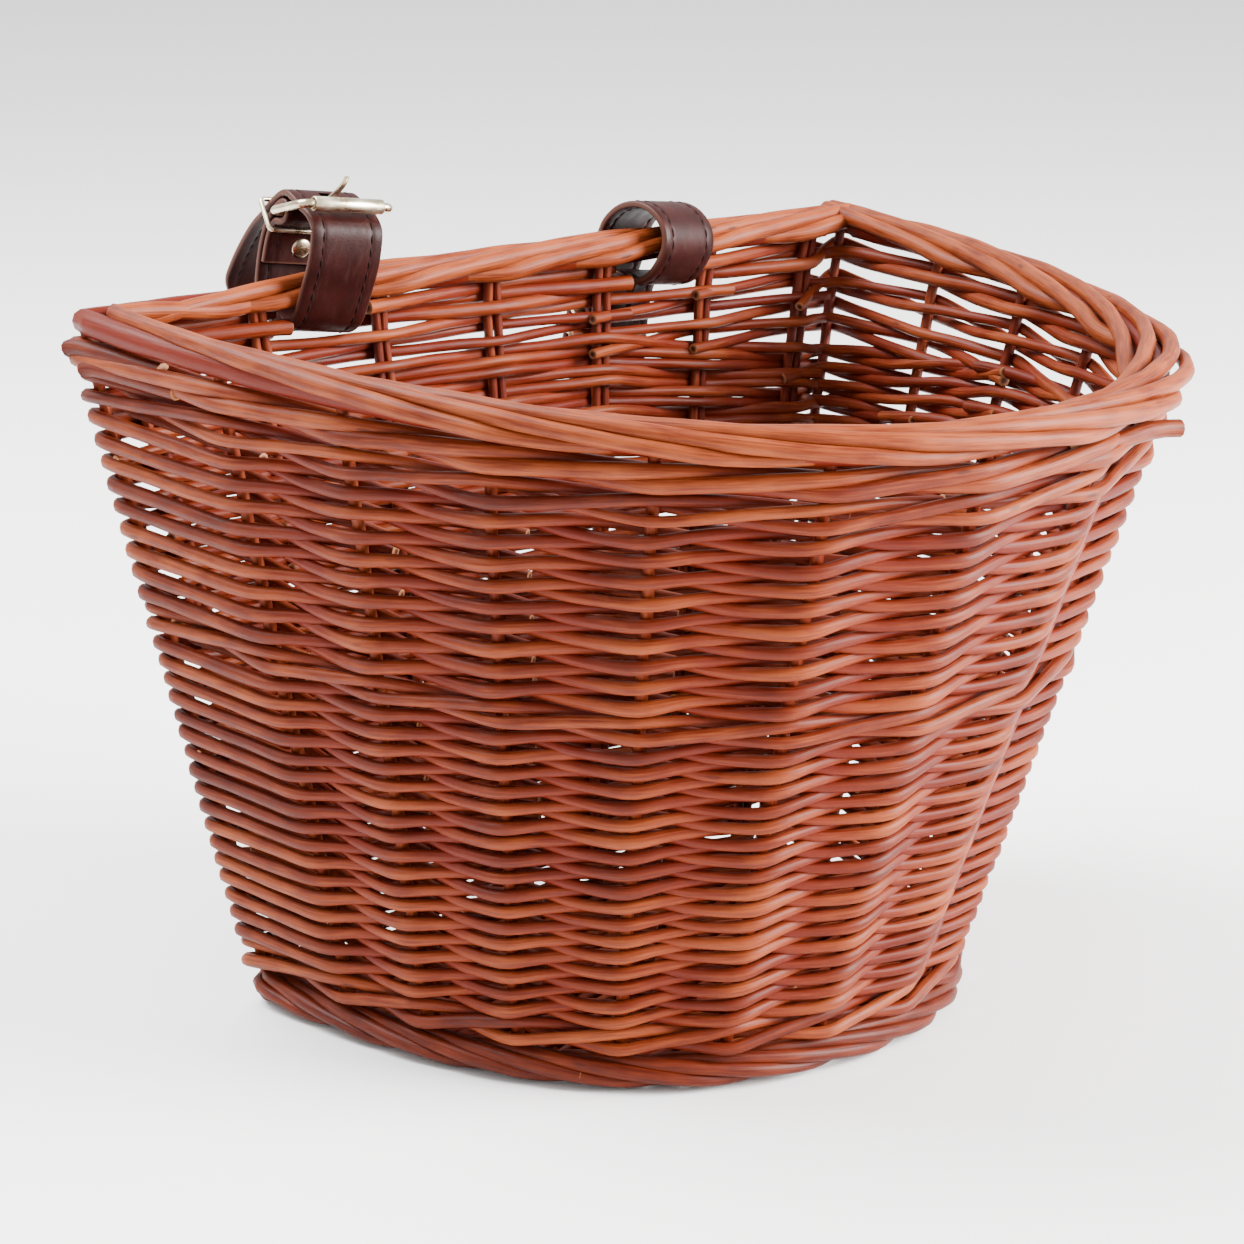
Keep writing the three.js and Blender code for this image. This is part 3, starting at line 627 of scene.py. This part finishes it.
# ---- Borders ----
def border_rod(bundle, line, start, end, facts):
    """A rod that winds slowly round a border, its two ends tucked into the bundle unless the border ends
    first. line gives the border's centre and outward direction at distances along it."""
    full = facts["span"] * facts["interval"]
    run = np.arange(start, min(start + full, end), BORDER_STATION)
    share = (run - start) / full
    centre, out = line(run)
    angle = np.radians(np.interp(share, *facts["winding"]))
    depth = np.interp(share, *facts["tuck"])
    wide = (facts["half_width"] - facts["radius"]) * depth * facts["looseness"](run)
    high = (facts["half_height"] - facts["radius"]) * depth
    path = centre + out * (wide * np.cos(angle))[:, None]
    path[:, 2] += high * np.sin(angle)
    path = softened(path, 2)
    path += ripple(run, UNEVEN["along"])[:, None] * out
    taper = np.interp(share, [0, 0.1, 0.7, 1], [0.8, 1.04, 1, 0.75])
    radius = facts["radius"] * taper * rng.uniform(0.94, 1.06)
    bundle.rod(path, radius, tint=rng.uniform(*facts["tint"]))


def run_line(outline, height, low, high, beyond):
    """The border's centre and outward direction over places low to high of an outline, by distance, and its
    length. Past the high end the line goes straight on."""
    places = np.linspace(low, high, 900)
    flat = outline.at(places)
    direction = np.sign(high - low)
    step = unit(np.gradient(flat, axis=0)) * direction
    out = softened(np.stack([step[:, 1], -step[:, 0]], -1), CORNER_EASING)
    out /= np.linalg.norm(out, axis=1, keepdims=True) ** 2
    run = np.concatenate([[0], np.cumsum(np.hypot(*np.diff(flat, axis=0).T))])

    def line(distance):
        x = np.interp(distance, run, flat[:, 0])
        y = np.interp(distance, run, flat[:, 1])
        past = np.clip(distance - run[-1], 0, None)
        heading = unit(flat[-1] - flat[-3])
        x = x + past * heading[0]
        y = y + past * heading[1]
        nx = np.interp(distance, run, out[:, 0])
        ny = np.interp(distance, run, out[:, 1])
        centre = np.stack([x, y, height(y)], -1)
        return centre, np.stack([nx, ny, np.zeros_like(nx)], -1)

    return line, run[-1] + beyond


def add_border(bundle, line, total, facts):
    """Rods that start one after the other along a border, over a plain core."""
    start = facts["first"]
    while start < total - facts["interval"]:
        border_rod(bundle, line, start, total + rng.uniform(-3, 3), facts)
        start += facts["interval"] * rng.uniform(0.93, 1.07)
    run = np.arange(max(facts["first"], 0) + 12, total - 12, 6.0)
    # The core gets full painted shade.
    bundle.rod(line(run)[0], facts["core"], crevice_shade=1)


def bulge(run, middle, over):
    return np.exp(-(((run - middle) / over) ** 2))


def add_rim_border():
    """A back run laid over the start of a front run, which also wraps the left corner."""
    facts = {
        **RIM_BORDER,
        "radius": RIM_BORDER_ROD,
        # A high tint range: the rim border's rods lighter than the weave as painted light on the top, over
        # their random tone.
        "tint": (0.8, 1.4),
        "core": 4.2,
        "winding": ([0, 0.08, 0.16, 0.84, 1], [240, 205, 165, -5, -75]),
        "tuck": ([0, 0.03, 0.12, 0.86, 1], [0, 0.2, 1.08, 1.08, 0.3]),
    }
    bundle = Bundle()
    corner_margin = 1e-6
    back, length = run_line(rim_line, rim_height, 2 - corner_margin, 1 + corner_margin, BACK_RUN["beyond"])
    add_border(bundle, back, length, {**facts, **BACK_RUN, "looseness": np.ones_like})
    front, front_length = run_line(rim_line, rim_height, -FRONT_RUN_LAP, 1, FRONT_RUN["beyond"])
    corner = FRONT_RUN_LAP * RIM["half_width"] * 2

    def looser(run):
        at_right = bulge(run / front_length, LOOSE_AT_RIGHT["at"], LOOSE_AT_RIGHT["over"])
        at_corner = bulge(run, corner, LOOSE_AT_CORNER["over"])
        return 1 + LOOSE_AT_RIGHT["more"] * at_right + LOOSE_AT_CORNER["more"] * at_corner

    add_border(bundle, front, front_length, {**facts, **FRONT_RUN, "looseness": looser})
    add_cut_ends(bundle)
    bundle.make("rim_border_rods", WILLOW, "basket", ["rim_border"])


def add_cut_ends(bundle):
    """Ends of border rods that stick out: two past the left corner, and one low on the right of the front."""
    for end in CUT_ENDS:
        places = end["place"] - end["toward"] * np.array([0.06, 0.04, 0.02, 0])
        flat = rim_line.at(places)
        out = outward(rim_line.at, places)
        aside = end["aside"] * np.linspace(-0.5, 1, len(places))
        inner = np.concatenate([flat, rim_height(flat[:, 1:]) - end["below"]], 1) + out * aside[:, None]
        heading = unit(inner[-1] - inner[-2]) + end["away"] * out[-1] - [0, 0, end["dip"]]
        tip = inner[-1] + unit(heading) * end["free"]
        path = softened(np.concatenate([inner, [(inner[-1] + tip) / 2, tip]]), 1)
        bundle.rod(path, RIM_BORDER_ROD, tint=end["tint"])


def add_foot_border():
    """One run that goes once round and laps over its own start."""
    facts = {
        **FOOT_BORDER,
        "radius": FOOT_BORDER_ROD,
        # A low tint range: painted shade, the foot border's rods darker at the bottom of the basket.
        "tint": (-0.3, 0.1),
        "core": 3.2,
        "winding": ([0, 0.1, 0.85, 1], [165, 120, -40, -110]),
        "tuck": ([0, 0.12, 0.85, 1], [0.4, 1, 1, 0.6]),
        "interval": 30,
        "span": 3.6,
        "first": 0,
        "looseness": np.ones_like,
    }

    def height(y):
        return np.full_like(y, FOOT_BORDER["half_height"])

    line, length = run_line(wall_foot, height, 0, 2.3, 0)
    bundle = Bundle()
    add_border(bundle, line, length, facts)
    bundle.make("foot_border_rods", WILLOW, "basket", ["foot_border"])


# ---- The woven base ----
# The base is the same D as the foot, a little smaller.
BASE_SHRINK = FOOT_BORDER["outward"] - BASE_WEAVE["inset"]
BASE = {
    "half_width": FOOT["half_width"] + BASE_SHRINK,
    "back": FOOT["back_y"] + BASE_SHRINK,
    "depth": FOOT["depth"] + 2 * BASE_SHRINK,
}
BASE_STICK_X = (np.arange(BASE_STICKS["count"]) - (BASE_STICKS["count"] - 1) / 2) * BASE_STICKS["spacing"]


def other_reach(share):
    """How far the D reaches along one axis, as a share, where it has reached a share of the other."""
    return (1 - share ** FOOT["squareness"]) ** (1 / FOOT["squareness"])


def add_base_sticks():
    for i, x in enumerate(BASE_STICK_X):
        depth = BASE["depth"] * other_reach(abs(x) / BASE["half_width"])
        y = np.linspace(BASE["back"] + 3, BASE["back"] - depth - 3, 30)
        path = np.stack([np.full_like(y, x), y, np.full_like(y, BASE_MIDDLE)], -1)
        bundle = Bundle()
        # The base sticks get an even painted shade.
        bundle.rod(path, BASE_STICKS["radius"], crevice_shade=0.4)
        bundle.make(f"base_stick_{i + 1}_rod", WILLOW, "basket", [f"base_stick_{i + 1}"])


def add_base_row(bundle, row, share):
    """One rod across the base, over one stick and under the next."""
    half = BASE["half_width"] * other_reach(share) - 0.5
    crossed = BASE_STICK_X[np.abs(BASE_STICK_X) < half - 4]
    swing = BASE_WEAVE["swing"] * np.where((np.arange(len(crossed)) + row) % 2, -1, 1)
    x = np.concatenate([[-half], crossed, [half]])
    z = np.concatenate([[-swing[0] * 0.4], swing, [-swing[-1] * 0.4]])
    y = BASE["back"] - BASE["depth"] * share + rng.normal(0, UNEVEN["along"], len(x))
    path = woven_path(np.stack([x, y, BASE_MIDDLE + z, z], -1), np.zeros(len(x) - 1))
    # Painted shade, darkest midway between the sticks, where the rod lies deepest among its neighbours.
    reach = BASE_WEAVE["swing"] + BASE_WEAVE["radius"]
    crevice_shade = 0.8 * np.clip(1 - np.abs(path[:, 3:4]) / reach, 0, 1)
    bundle.rod(path[:, :3], BASE_WEAVE["radius"], crevice_shade=crevice_shade)


def add_base_weave():
    rows = BASE_WEAVE["courses"] * BASE_WEAVE["rods"]
    bundles = [Bundle() for _ in range(BASE_WEAVE["courses"])]
    for row in range(rows):
        add_base_row(bundles[row // BASE_WEAVE["rods"]], row, BASE_WEAVE["last"] * (row + 0.5) / rows)
    for i, bundle in enumerate(bundles):
        bundle.make(f"base_weave_{i + 1}_rods", WILLOW, "basket", [f"base_weave_{i + 1}"])


# ---- Straps ----
def turned(vector, degrees):
    a = math.radians(degrees)
    y, z = vector
    return np.array([y * math.cos(a) - z * math.sin(a), y * math.sin(a) + z * math.cos(a)])


class Spline:
    """A smooth line through points in a plane, by arc length."""

    def __init__(self, points, steps=40):
        points = np.asarray(points, float)
        last = len(points) - 1
        t = np.linspace(0, last, last * steps + 1)
        i = np.minimum(t.astype(int), last - 1)
        w = (t - i)[:, None]
        p0, p1 = points[np.maximum(i - 1, 0)], points[i]
        p2, p3 = points[i + 1], points[np.minimum(i + 2, last)]
        v0, v1 = (p2 - p0) / 2, (p3 - p1) / 2
        cubic = 2 * p1 - 2 * p2 + v0 + v1
        self.points = cubic * w**3 + (p2 - p1 - v0 - cubic) * w**2 + v0 * w + p1
        self.run = np.concatenate([[0], np.cumsum(np.linalg.norm(np.diff(self.points, axis=0), axis=1))])
        self.length = self.run[-1]

    def at(self, run):
        return np.stack([np.interp(run, self.run, self.points[:, k]) for k in (0, 1)], -1)

    def direction(self, run, step=0.2):
        run = np.clip(run, step, self.length - step)
        return unit(self.at(run + step) - self.at(run - step))


class Lap:
    """The middle line of the end that is folded round the heel bar."""

    def __init__(self, heel, offsets):
        self.heel = np.array(heel, float)
        self.line = Spline([self.heel, *(self.heel + np.array(o) for o in offsets)])

    def direction(self, along):
        return self.line.direction(np.clip(along, 0, self.line.length))

    def out(self, along):
        return turned(self.direction(along), 90)

    def point(self, along, aside=0.0):
        on = self.heel if along < 0 else self.line.at(along)
        return on + self.direction(0) * min(along, 0) + self.out(along) * aside


def strap_line(facts, lap):
    """The leather's middle line: the lap's two layers, round the heel bar, then under the border and over
    to the tip."""
    length, aside = LAP["length"], LAP["aside"]
    layer = [(length, aside), (length * 0.6, aside), (length * 0.3, aside + 0.1), (2, 3.2), (-1.8, 2.8)]
    under = [lap.point(along, -out) for along, out in layer]
    over = [lap.point(along, out) for along, out in reversed(layer)]
    wrap = [turned((STRAP["wrap_radius"], 0), degrees) for degrees in (-60, -90, -120, -150)]
    over_buckle = [(-5.5, 4.4), (-1.5, 6), (3, 5.7), (KEEPER["along"], 5.1)]
    across_buckle = [lap.point(along, out) for along, out in over_buckle]
    tail = [lap.heel + np.array(offset) for offset in facts["tail"]]
    heel = lap.point(-3.4, 0)
    return Spline([*under, heel, *over, *facts["main_run"], *wrap, *facts["rise"], *across_buckle, *tail])


def leather_section():
    """Points round the leather's section as x and height shares, and how far each one is a cut edge."""
    half, thick = STRAP["width"] / 2, STRAP["thickness"] / 2
    seam = half - STITCH["from_edge"]
    stations = [-half + 0.7, -seam - 1.6, -seam - 0.6, -seam, -seam + 0.6, -seam + 1.6, -half / 3]
    stations = [*stations, 0, *(-x for x in reversed(stations))]
    channel = [0.22 if abs(abs(x) - seam) < 0.1 else 0 for x in stations]
    upper = [(x, thick - depth - 0.12 * (abs(x) / half) ** 4) for x, depth in zip(stations, channel)]
    corner, flat = (half - 0.2, thick * 0.72), (half, thick * 0.3)
    edge = [corner, flat, (flat[0], -flat[1]), (corner[0], -corner[1])]
    loop = [*upper, *edge, *((-x, -h) for x, h in upper), *((-x, -h) for x, h in edge)]
    marks = [0.0] * len(upper) + [0.6, 1, 1, 0.6]
    return np.array(loop), np.array(marks * 2)


class StrapFrame:
    """Turns points of a strap's own frame into the basket's, and pieces of it into meshes."""

    def __init__(self, side, x, turn):
        lean = math.radians(STRAP["lean"])
        turn = math.radians(turn)
        self.side = side
        self.rotation = np.array(Matrix.Rotation(turn, 3, "Z") @ Matrix.Rotation(lean, 3, "Y"))
        self.origin = np.array([x, 0, RIM_HEIGHT["back"]])
        self.across = self.rotation[:, 0]

    def place(self, points):
        return np.asarray(points, float) @ self.rotation.T + self.origin


def seated(points, at, direction):
    """Points with their own x across and y along, put at a point of the strap's plane along a direction."""
    y, z = direction
    turn = np.array([[1, 0, 0], [0, y, -z], [0, z, y]])
    return np.asarray(points, float) @ turn.T + np.array([0, *at])


def strap_mesh(strap, line, cutters):
    """The leather as one closed body, with its slot and holes cut through."""
    section, marks = leather_section()
    run = np.linspace(0, line.length, 300)
    centre = line.at(run)
    along = line.direction(run)
    normal = np.stack([-along[:, 1], along[:, 0]], -1)
    past = np.clip(run - (line.length - TIP["length"]), 0, None) / TIP["length"]
    narrow = np.sqrt(1 - TIP["narrowing"] * past**2)
    x = section[:, 0][None] * narrow[:, None]
    plane = centre[:, None] + normal[:, None] * section[:, 1][None, :, None]
    points = np.concatenate([x[..., None], plane], -1)
    mesh = bpy.data.meshes.new("leather")
    mesh.from_pydata(to_world(strap.place(points.reshape(-1, 3))), [], bar_faces(len(run), len(section)))
    grain = np.stack([np.broadcast_to(run[:, None], x.shape), x, np.broadcast_to(section[:, 1], x.shape)], -1)
    edge = np.broadcast_to(marks, x.shape).copy()
    edge[[0, -1]] = 1
    mark_points(mesh, "grain", grain.reshape(-1, 3))
    mark_points(mesh, "cut", edge.ravel())
    fix_normals(mesh)
    return carved(mesh, cutters)


def bar_faces(rings, size):
    """The sides and two ends of a bar made of rings of points."""
    ends = [list(range(size)), list(range((rings - 1) * size, rings * size))[::-1]]
    return [*ring_faces(rings, size).tolist(), *ends]


def fix_normals(mesh):
    """Join points that coincide, and turn all faces outwards."""
    work = bmesh.new()
    work.from_mesh(mesh)
    bmesh.ops.remove_doubles(work, verts=work.verts, dist=1e-6)
    bmesh.ops.recalc_face_normals(work, faces=work.faces)
    work.to_mesh(mesh)
    work.free()


def smooth(mesh, sharp_from):
    mesh.polygons.foreach_set("use_smooth", [True] * len(mesh.polygons))
    mesh.set_sharp_from_angle(angle=math.radians(sharp_from))


def carved(mesh, cutters):
    """The mesh with closed cutter meshes taken out of it."""
    body = bpy.data.objects.new("carved", mesh)
    bpy.context.scene.collection.objects.link(body)
    tools = []
    for cutter in cutters:
        tool = bpy.data.objects.new("cutter", cutter)
        bpy.context.scene.collection.objects.link(tool)
        tools.append(tool)
        modifier = body.modifiers.new("cut", "BOOLEAN")
        modifier.operation = "DIFFERENCE"
        modifier.solver = "EXACT"
        modifier.object = tool
    bpy.context.view_layer.update()
    depsgraph = bpy.context.evaluated_depsgraph_get()
    result = bpy.data.meshes.new_from_object(body.evaluated_get(depsgraph))
    for thing in [body, *tools]:
        bpy.data.objects.remove(thing)
    return result


def prism(strap, outline, low, high, at, direction):
    """A closed cutter: an outline in x and y, from low to high in z, seated in the strap's plane."""
    outline = np.asarray(outline, float)
    size = len(outline)
    layers = [np.column_stack([outline, np.full(size, z)]) for z in (low, high)]
    points = seated(np.concatenate(layers), at, direction)
    mesh = bpy.data.meshes.new("cutter")
    mesh.from_pydata(to_world(strap.place(points)), [], bar_faces(2, size))
    fix_normals(mesh)
    return mesh


def circle(radius, steps=20):
    angle = 2 * np.pi * np.arange(steps) / steps
    return np.stack([radius * np.cos(angle), radius * np.sin(angle)], -1)


def slot_outline():
    """The prong slot: straight sides and round ends."""
    half = PRONG_SLOT["half_width"]
    angle = np.linspace(0, np.pi, 9)
    arc = np.stack([half * np.cos(angle), half * np.sin(angle)], -1)
    return np.concatenate([arc + [0, PRONG_SLOT["ahead"] - half], -arc - [0, PRONG_SLOT["behind"] - half]])


def wire_loop(half_width, low, high, corner):
    """A closed path round a rounded rectangle in x and y."""
    angle = np.linspace(0, np.pi / 2, 7)
    path = []
    centres = [(1, high - corner), (-1, high - corner), (-1, low + corner), (1, low + corner)]
    for quarter, (side, y) in enumerate(centres):
        a = angle + quarter * np.pi / 2
        centre = np.array([side * (half_width - corner), y])
        path.extend(centre + corner * np.stack([np.cos(a), np.sin(a)], -1))
    path = np.array(path)
    return np.column_stack([path, np.zeros(len(path))])


def closed_tube(path, radius, sides=14):
    """Points and faces of a ring of round wire."""
    before, after = np.roll(path, 1, 0), np.roll(path, -1, 0)
    forward = unit(after - before)
    side = unit(np.cross(forward, (0, 0, 1)))
    top = np.cross(side, forward)
    angle = 2 * np.pi * np.arange(sides) / sides
    ring = side[:, None] * np.cos(angle)[:, None] + top[:, None] * np.sin(angle)[:, None]
    points = (path[:, None] + ring * radius).reshape(-1, 3)
    return points, ring_faces(len(path), sides, closed=True).tolist()


def lathe(profile, steps=40):
    """Points and faces of a closed profile of radius and x, turned round the x axis."""
    angle = 2 * np.pi * np.arange(steps) / steps
    rings = [np.stack([np.full(steps, x), r * np.cos(angle), r * np.sin(angle)], -1) for r, x in profile]
    return np.concatenate(rings), ring_faces(len(profile), steps, closed=True).tolist()


def upright(made):
    """A lathed shape with its axis along y."""
    points, faces = made
    return points[:, [1, 0, 2]], faces


def hardware(strap, name, body, points, faces, at, direction):
    """A metal piece from its own points, seated in the strap's plane, for the CAD node of its name."""
    node = f"{strap.side}_{name}"
    mesh = bpy.data.meshes.new(node)
    mesh.from_pydata(to_world(strap.place(seated(points, at, direction))), [], faces)
    fix_normals(mesh)
    smooth(mesh, 40)
    add_piece(f"{node}_made", mesh, METAL, f"{strap.side}_{body}", [node])


def prong_shape():
    """A flat tongue bent round the heel bar, its arm tapering to a slightly dropped tip."""
    curl_steps, arm_steps, sides = 26, 24, 12
    angle = np.radians(np.linspace(35, 335, curl_steps))
    curl = PRONG["loop"] * np.stack([np.cos(angle), np.sin(angle)], -1)
    arm = Spline([curl[-1], (4.4, 0.0), (12, 0.9), (20.4, 1.2), (PRONG["length"], 0.2)])
    share = np.linspace(0, 1, arm_steps)
    path = np.concatenate([curl, arm.at(np.linspace(0.4, arm.length, arm_steps))])
    arm_width = np.interp(share, [0, 1], [PRONG["half_width"], 0.85])
    arm_height = np.interp(share, [0, 0.15, 1], [0.6, 0.9, 0.6])
    half_width = np.concatenate([np.full(curl_steps, PRONG["half_width"]), arm_width])
    half_height = np.concatenate([np.full(curl_steps, 0.58), arm_height])
    along = unit(np.gradient(path, axis=0))
    normal = np.stack([-along[:, 1], along[:, 0]], -1)
    turn = 2 * np.pi * (np.arange(sides) + 0.5) / sides
    round_section = np.stack([np.cos(turn), np.sin(turn)])
    square = np.abs(round_section) ** 0.6 * np.sign(round_section)
    x = half_width[:, None] * square[0]
    plane = path[:, None] + normal[:, None] * (half_height[:, None] * square[1])[..., None]
    points = np.concatenate([x[..., None], plane], -1).reshape(-1, 3)
    return points, bar_faces(len(path), sides)


def rivet_profile(lap_face, end):
    """A domed head against the lap, a post through both layers, and a flat end."""
    head, thick, post = RIVET["head"], RIVET["head_thickness"], RIVET["post"]
    under_head = lap_face - GAP / 2
    dome = [(head * math.sin(a), lap_face - thick * math.cos(a)) for a in np.linspace(0, math.pi / 2, 8)]
    shank = [(post, under_head), (post, end - 0.2), (post - 0.3, end), (0, end)]
    return [*dome, (head * 0.97, under_head), *shank]


def add_stitches(strap, line):
    """Thread along both edges, on both faces, in short stitches sunk in the stitch channel."""
    bundle = Bundle()
    seam = STRAP["width"] / 2 - STITCH["from_edge"]
    height = STRAP["thickness"] / 2 - 0.5 + 0.42 * np.sin(np.linspace(0, np.pi, 6))
    for run in np.arange(5, line.length - 13, STITCH["pitch"]):
        here = run + np.linspace(0, STITCH["length"], 6)
        along = line.direction(here)
        normal = np.stack([-along[:, 1], along[:, 0]], -1)
        for face in (-1, 1):
            plane = line.at(here) + normal * (face * height)[:, None]
            for x in (-seam, seam):
                path = strap.place(np.column_stack([np.full(6, x), plane]))
                bundle.rod(path, STITCH["radius"], up=strap.across, sides=6, wander=0.02)
    bundle.make(f"{strap.side}_strap_stitching", THREAD, f"{strap.side}_strap", slot="leather")


def add_leather(strap, lap, line, bar):
    side = strap.side
    rivet_direction = lap.direction(RIVET["along"])
    cutters = [
        prism(strap, slot_outline(), -6, 14, lap.heel, bar),
        prism(strap, circle(RIVET["hole"]), -3.5, 3.5, lap.point(RIVET["along"]), rivet_direction),
    ]
    for from_tip in TAIL_HOLES["from_tip"]:
        run = line.length - from_tip
        cutters.append(prism(strap, circle(TAIL_HOLES["radius"]), -2, 2, line.at(run), line.direction(run)))
    leather = strap_mesh(strap, line, cutters)
    smooth(leather, 50)
    add_piece(f"{side}_strap_leather", leather, LEATHER, f"{side}_strap", [f"{side}_strap"])
    add_stitches(strap, line)


def add_buckle(strap, lap, bar):
    """The frame with its roller and prong, and the keeper on the lap."""
    heel, length = lap.heel, BUCKLE["length"]
    frame_path = wire_loop(BUCKLE["half_width"], 0, length, BUCKLE["corner"])
    hardware(strap, "buckle_frame", "buckle", *closed_tube(frame_path, BUCKLE["wire"]), heel, bar)
    inner, outer, half = ROLLER["inner"], ROLLER["outer"], ROLLER["half_length"]
    profile = [(inner, -half + 0.2), (inner + 0.35, -half), (outer - 0.25, -half), (outer, -half + 0.3)]
    profile = [*profile, *((r, -x) for r, x in reversed(profile))]
    hardware(strap, "buckle_roller", "roller", *lathe(profile), heel + bar * length, bar)
    hardware(strap, "buckle_prong", "prong", *prong_shape(), heel, turned(bar, -PRONG["raised"]))
    keeper_path = wire_loop(KEEPER["half_width"], KEEPER["inside"], KEEPER["outside"], KEEPER["corner"])
    place, out = lap.point(KEEPER["along"]), lap.out(KEEPER["along"])
    hardware(strap, "keeper", "keeper", *closed_tube(keeper_path, KEEPER["wire"]), place, out)


def add_rivet(strap, lap):
    place, out = lap.point(RIVET["along"]), lap.out(RIVET["along"])
    face = LAP["aside"] + STRAP["thickness"] / 2 + GAP / 2
    low, high = face + GAP, face + GAP + BURR["thickness"]
    hardware(strap, "rivet", "strap", *upright(lathe(rivet_profile(-face, high + 0.3))), place, out)
    hole, edge = RIVET["post"] + GAP, BURR["radius"]
    ring = [(hole, low), (edge, low), (edge - 0.25, high), (hole, high)]
    hardware(strap, "rivet_burr", "strap", *upright(lathe(ring)), place, out)


def add_strap(side, x, turn, facts):
    strap = StrapFrame(side, x, turn)
    lap = Lap(facts["heel"], facts["lap"])
    bar = turned((1, 0), facts["bar"])
    add_leather(strap, lap, strap_line(facts, lap), bar)
    add_buckle(strap, lap, bar)
    add_rivet(strap, lap)


def add_straps():
    standing = {
        "heel": (5, 26.2),
        "bar": 166,
        "lap": [(6, -2.6), (9.6, -7.6), (11.4, -14), (12, -20), (12, -27)],
        "main_run": [(18, -3.5), (14.4, -8.4), (10, -10.2)],
        "rise": [(-14.4, 3), (-16.8, 10), (-17.8, 17), (-17.2, 23.4), (-13, 27.2), (-7, 29.2)],
        "tail": [(13.6, -2.4), (19.8, -7), (25.6, -13), (31, -20), (35.6, -28), (39, -36.5)],
    }
    slipped = {
        "heel": (23, -27),
        "bar": 82,
        "lap": [(1.6, -7), (1.8, -14), (1, -20), (-1, -27)],
        "main_run": [(19, -59), (14.8, -57), (14, -48), (14, -38), (14, -27), (13.2, -17.5), (10, -11.2)],
        "rise": [(-14.2, 1), (-13, 8), (-7.5, 13.3), (0.5, 15.4)]
        + [(8.8, 13.4), (15, 8.2), (17.8, 1.4), (19.2, -6), (21.8, -13.5)],
        "tail": [(7.6, -13), (8.4, -19), (9, -26)],
    }
    add_strap("left", -STRAP["from_middle"], -STRAP["turn"], standing)
    add_strap("right", STRAP["from_middle"], STRAP["turn"], slipped)


# ---- Studio ----
FLOOR = {"half_width": 4.0, "color": (0.96, 0.96, 0.96, 1)}
WORLD_STRENGTH = 1.45
CAMERA = {"azimuth": -40.4, "elevation": 14.73, "roll": 0.41, "distance": 1.3053, "lens": 111.35}
LOOK_AT = (-19.2, -94.4, 135.3)


def add_floor():
    mesh = bpy.data.meshes.new("floor")
    half = FLOOR["half_width"]
    corners = [(-half, -half, 0), (half, -half, 0), (half, half, 0), (-half, half, 0)]
    mesh.from_pydata(corners, [], [(0, 1, 2, 3)])
    floor = bpy.data.objects.new("floor", mesh)
    bpy.context.scene.collection.objects.link(floor)
    shader = Shader("pale_floor", Roughness=0.9, Base_Color=FLOOR["color"])
    mesh.materials.append(shader.material)


def add_light(name, position, size, power, color=(1, 1, 1)):
    """A square lamp, in metres, turned towards the middle of the basket."""
    light = bpy.data.lights.new(name, "AREA")
    light.size = size
    light.energy = power
    light.color = color
    lamp = bpy.data.objects.new(name, light)
    lamp.location = position
    lamp.rotation_euler = (Vector((0, 0, 0.13)) - lamp.location).to_track_quat("-Z", "Y").to_euler()
    bpy.context.scene.collection.objects.link(lamp)


def add_studio():
    add_floor()
    world = bpy.data.worlds.new("studio")
    world.use_nodes = True
    background = world.node_tree.nodes["Background"]
    background.inputs["Color"].default_value = (1, 1, 1, 1)
    background.inputs["Strength"].default_value = WORLD_STRENGTH
    bpy.context.scene.world = world
    add_light("key", (1.25, -1.5, 0.95), 1.3, 270, (1, 0.98, 0.96))
    add_light("top", (-0.6, 0.8, 1.6), 1.2, 105)


def add_camera():
    azimuth, elevation, roll = (math.radians(CAMERA[angle]) for angle in ("azimuth", "elevation", "roll"))
    level = math.cos(elevation)
    back = Vector((math.sin(azimuth) * level, -math.cos(azimuth) * level, math.sin(elevation)))
    data = bpy.data.cameras.new("camera")
    data.sensor_width = 36
    data.lens = CAMERA["lens"]
    camera = bpy.data.objects.new("camera", data)
    turn = back.to_track_quat("Z", "Y").to_matrix() @ Matrix.Rotation(roll, 3, "Z")
    position = Vector(to_world(LOOK_AT)) + back * CAMERA["distance"]
    camera.matrix_world = Matrix.Translation(position) @ turn.to_4x4()
    bpy.context.scene.collection.objects.link(camera)
    bpy.context.scene.camera = camera


def main():
    for name, facts in WALES.items():
        add_wale(name, facts)
    for section, facts in SIDING.items():
        add_siding(section, facts)
    add_stakes()
    add_rim_border()
    add_foot_border()
    add_base_sticks()
    add_base_weave()
    add_straps()
    add_studio()
    add_camera()


main()
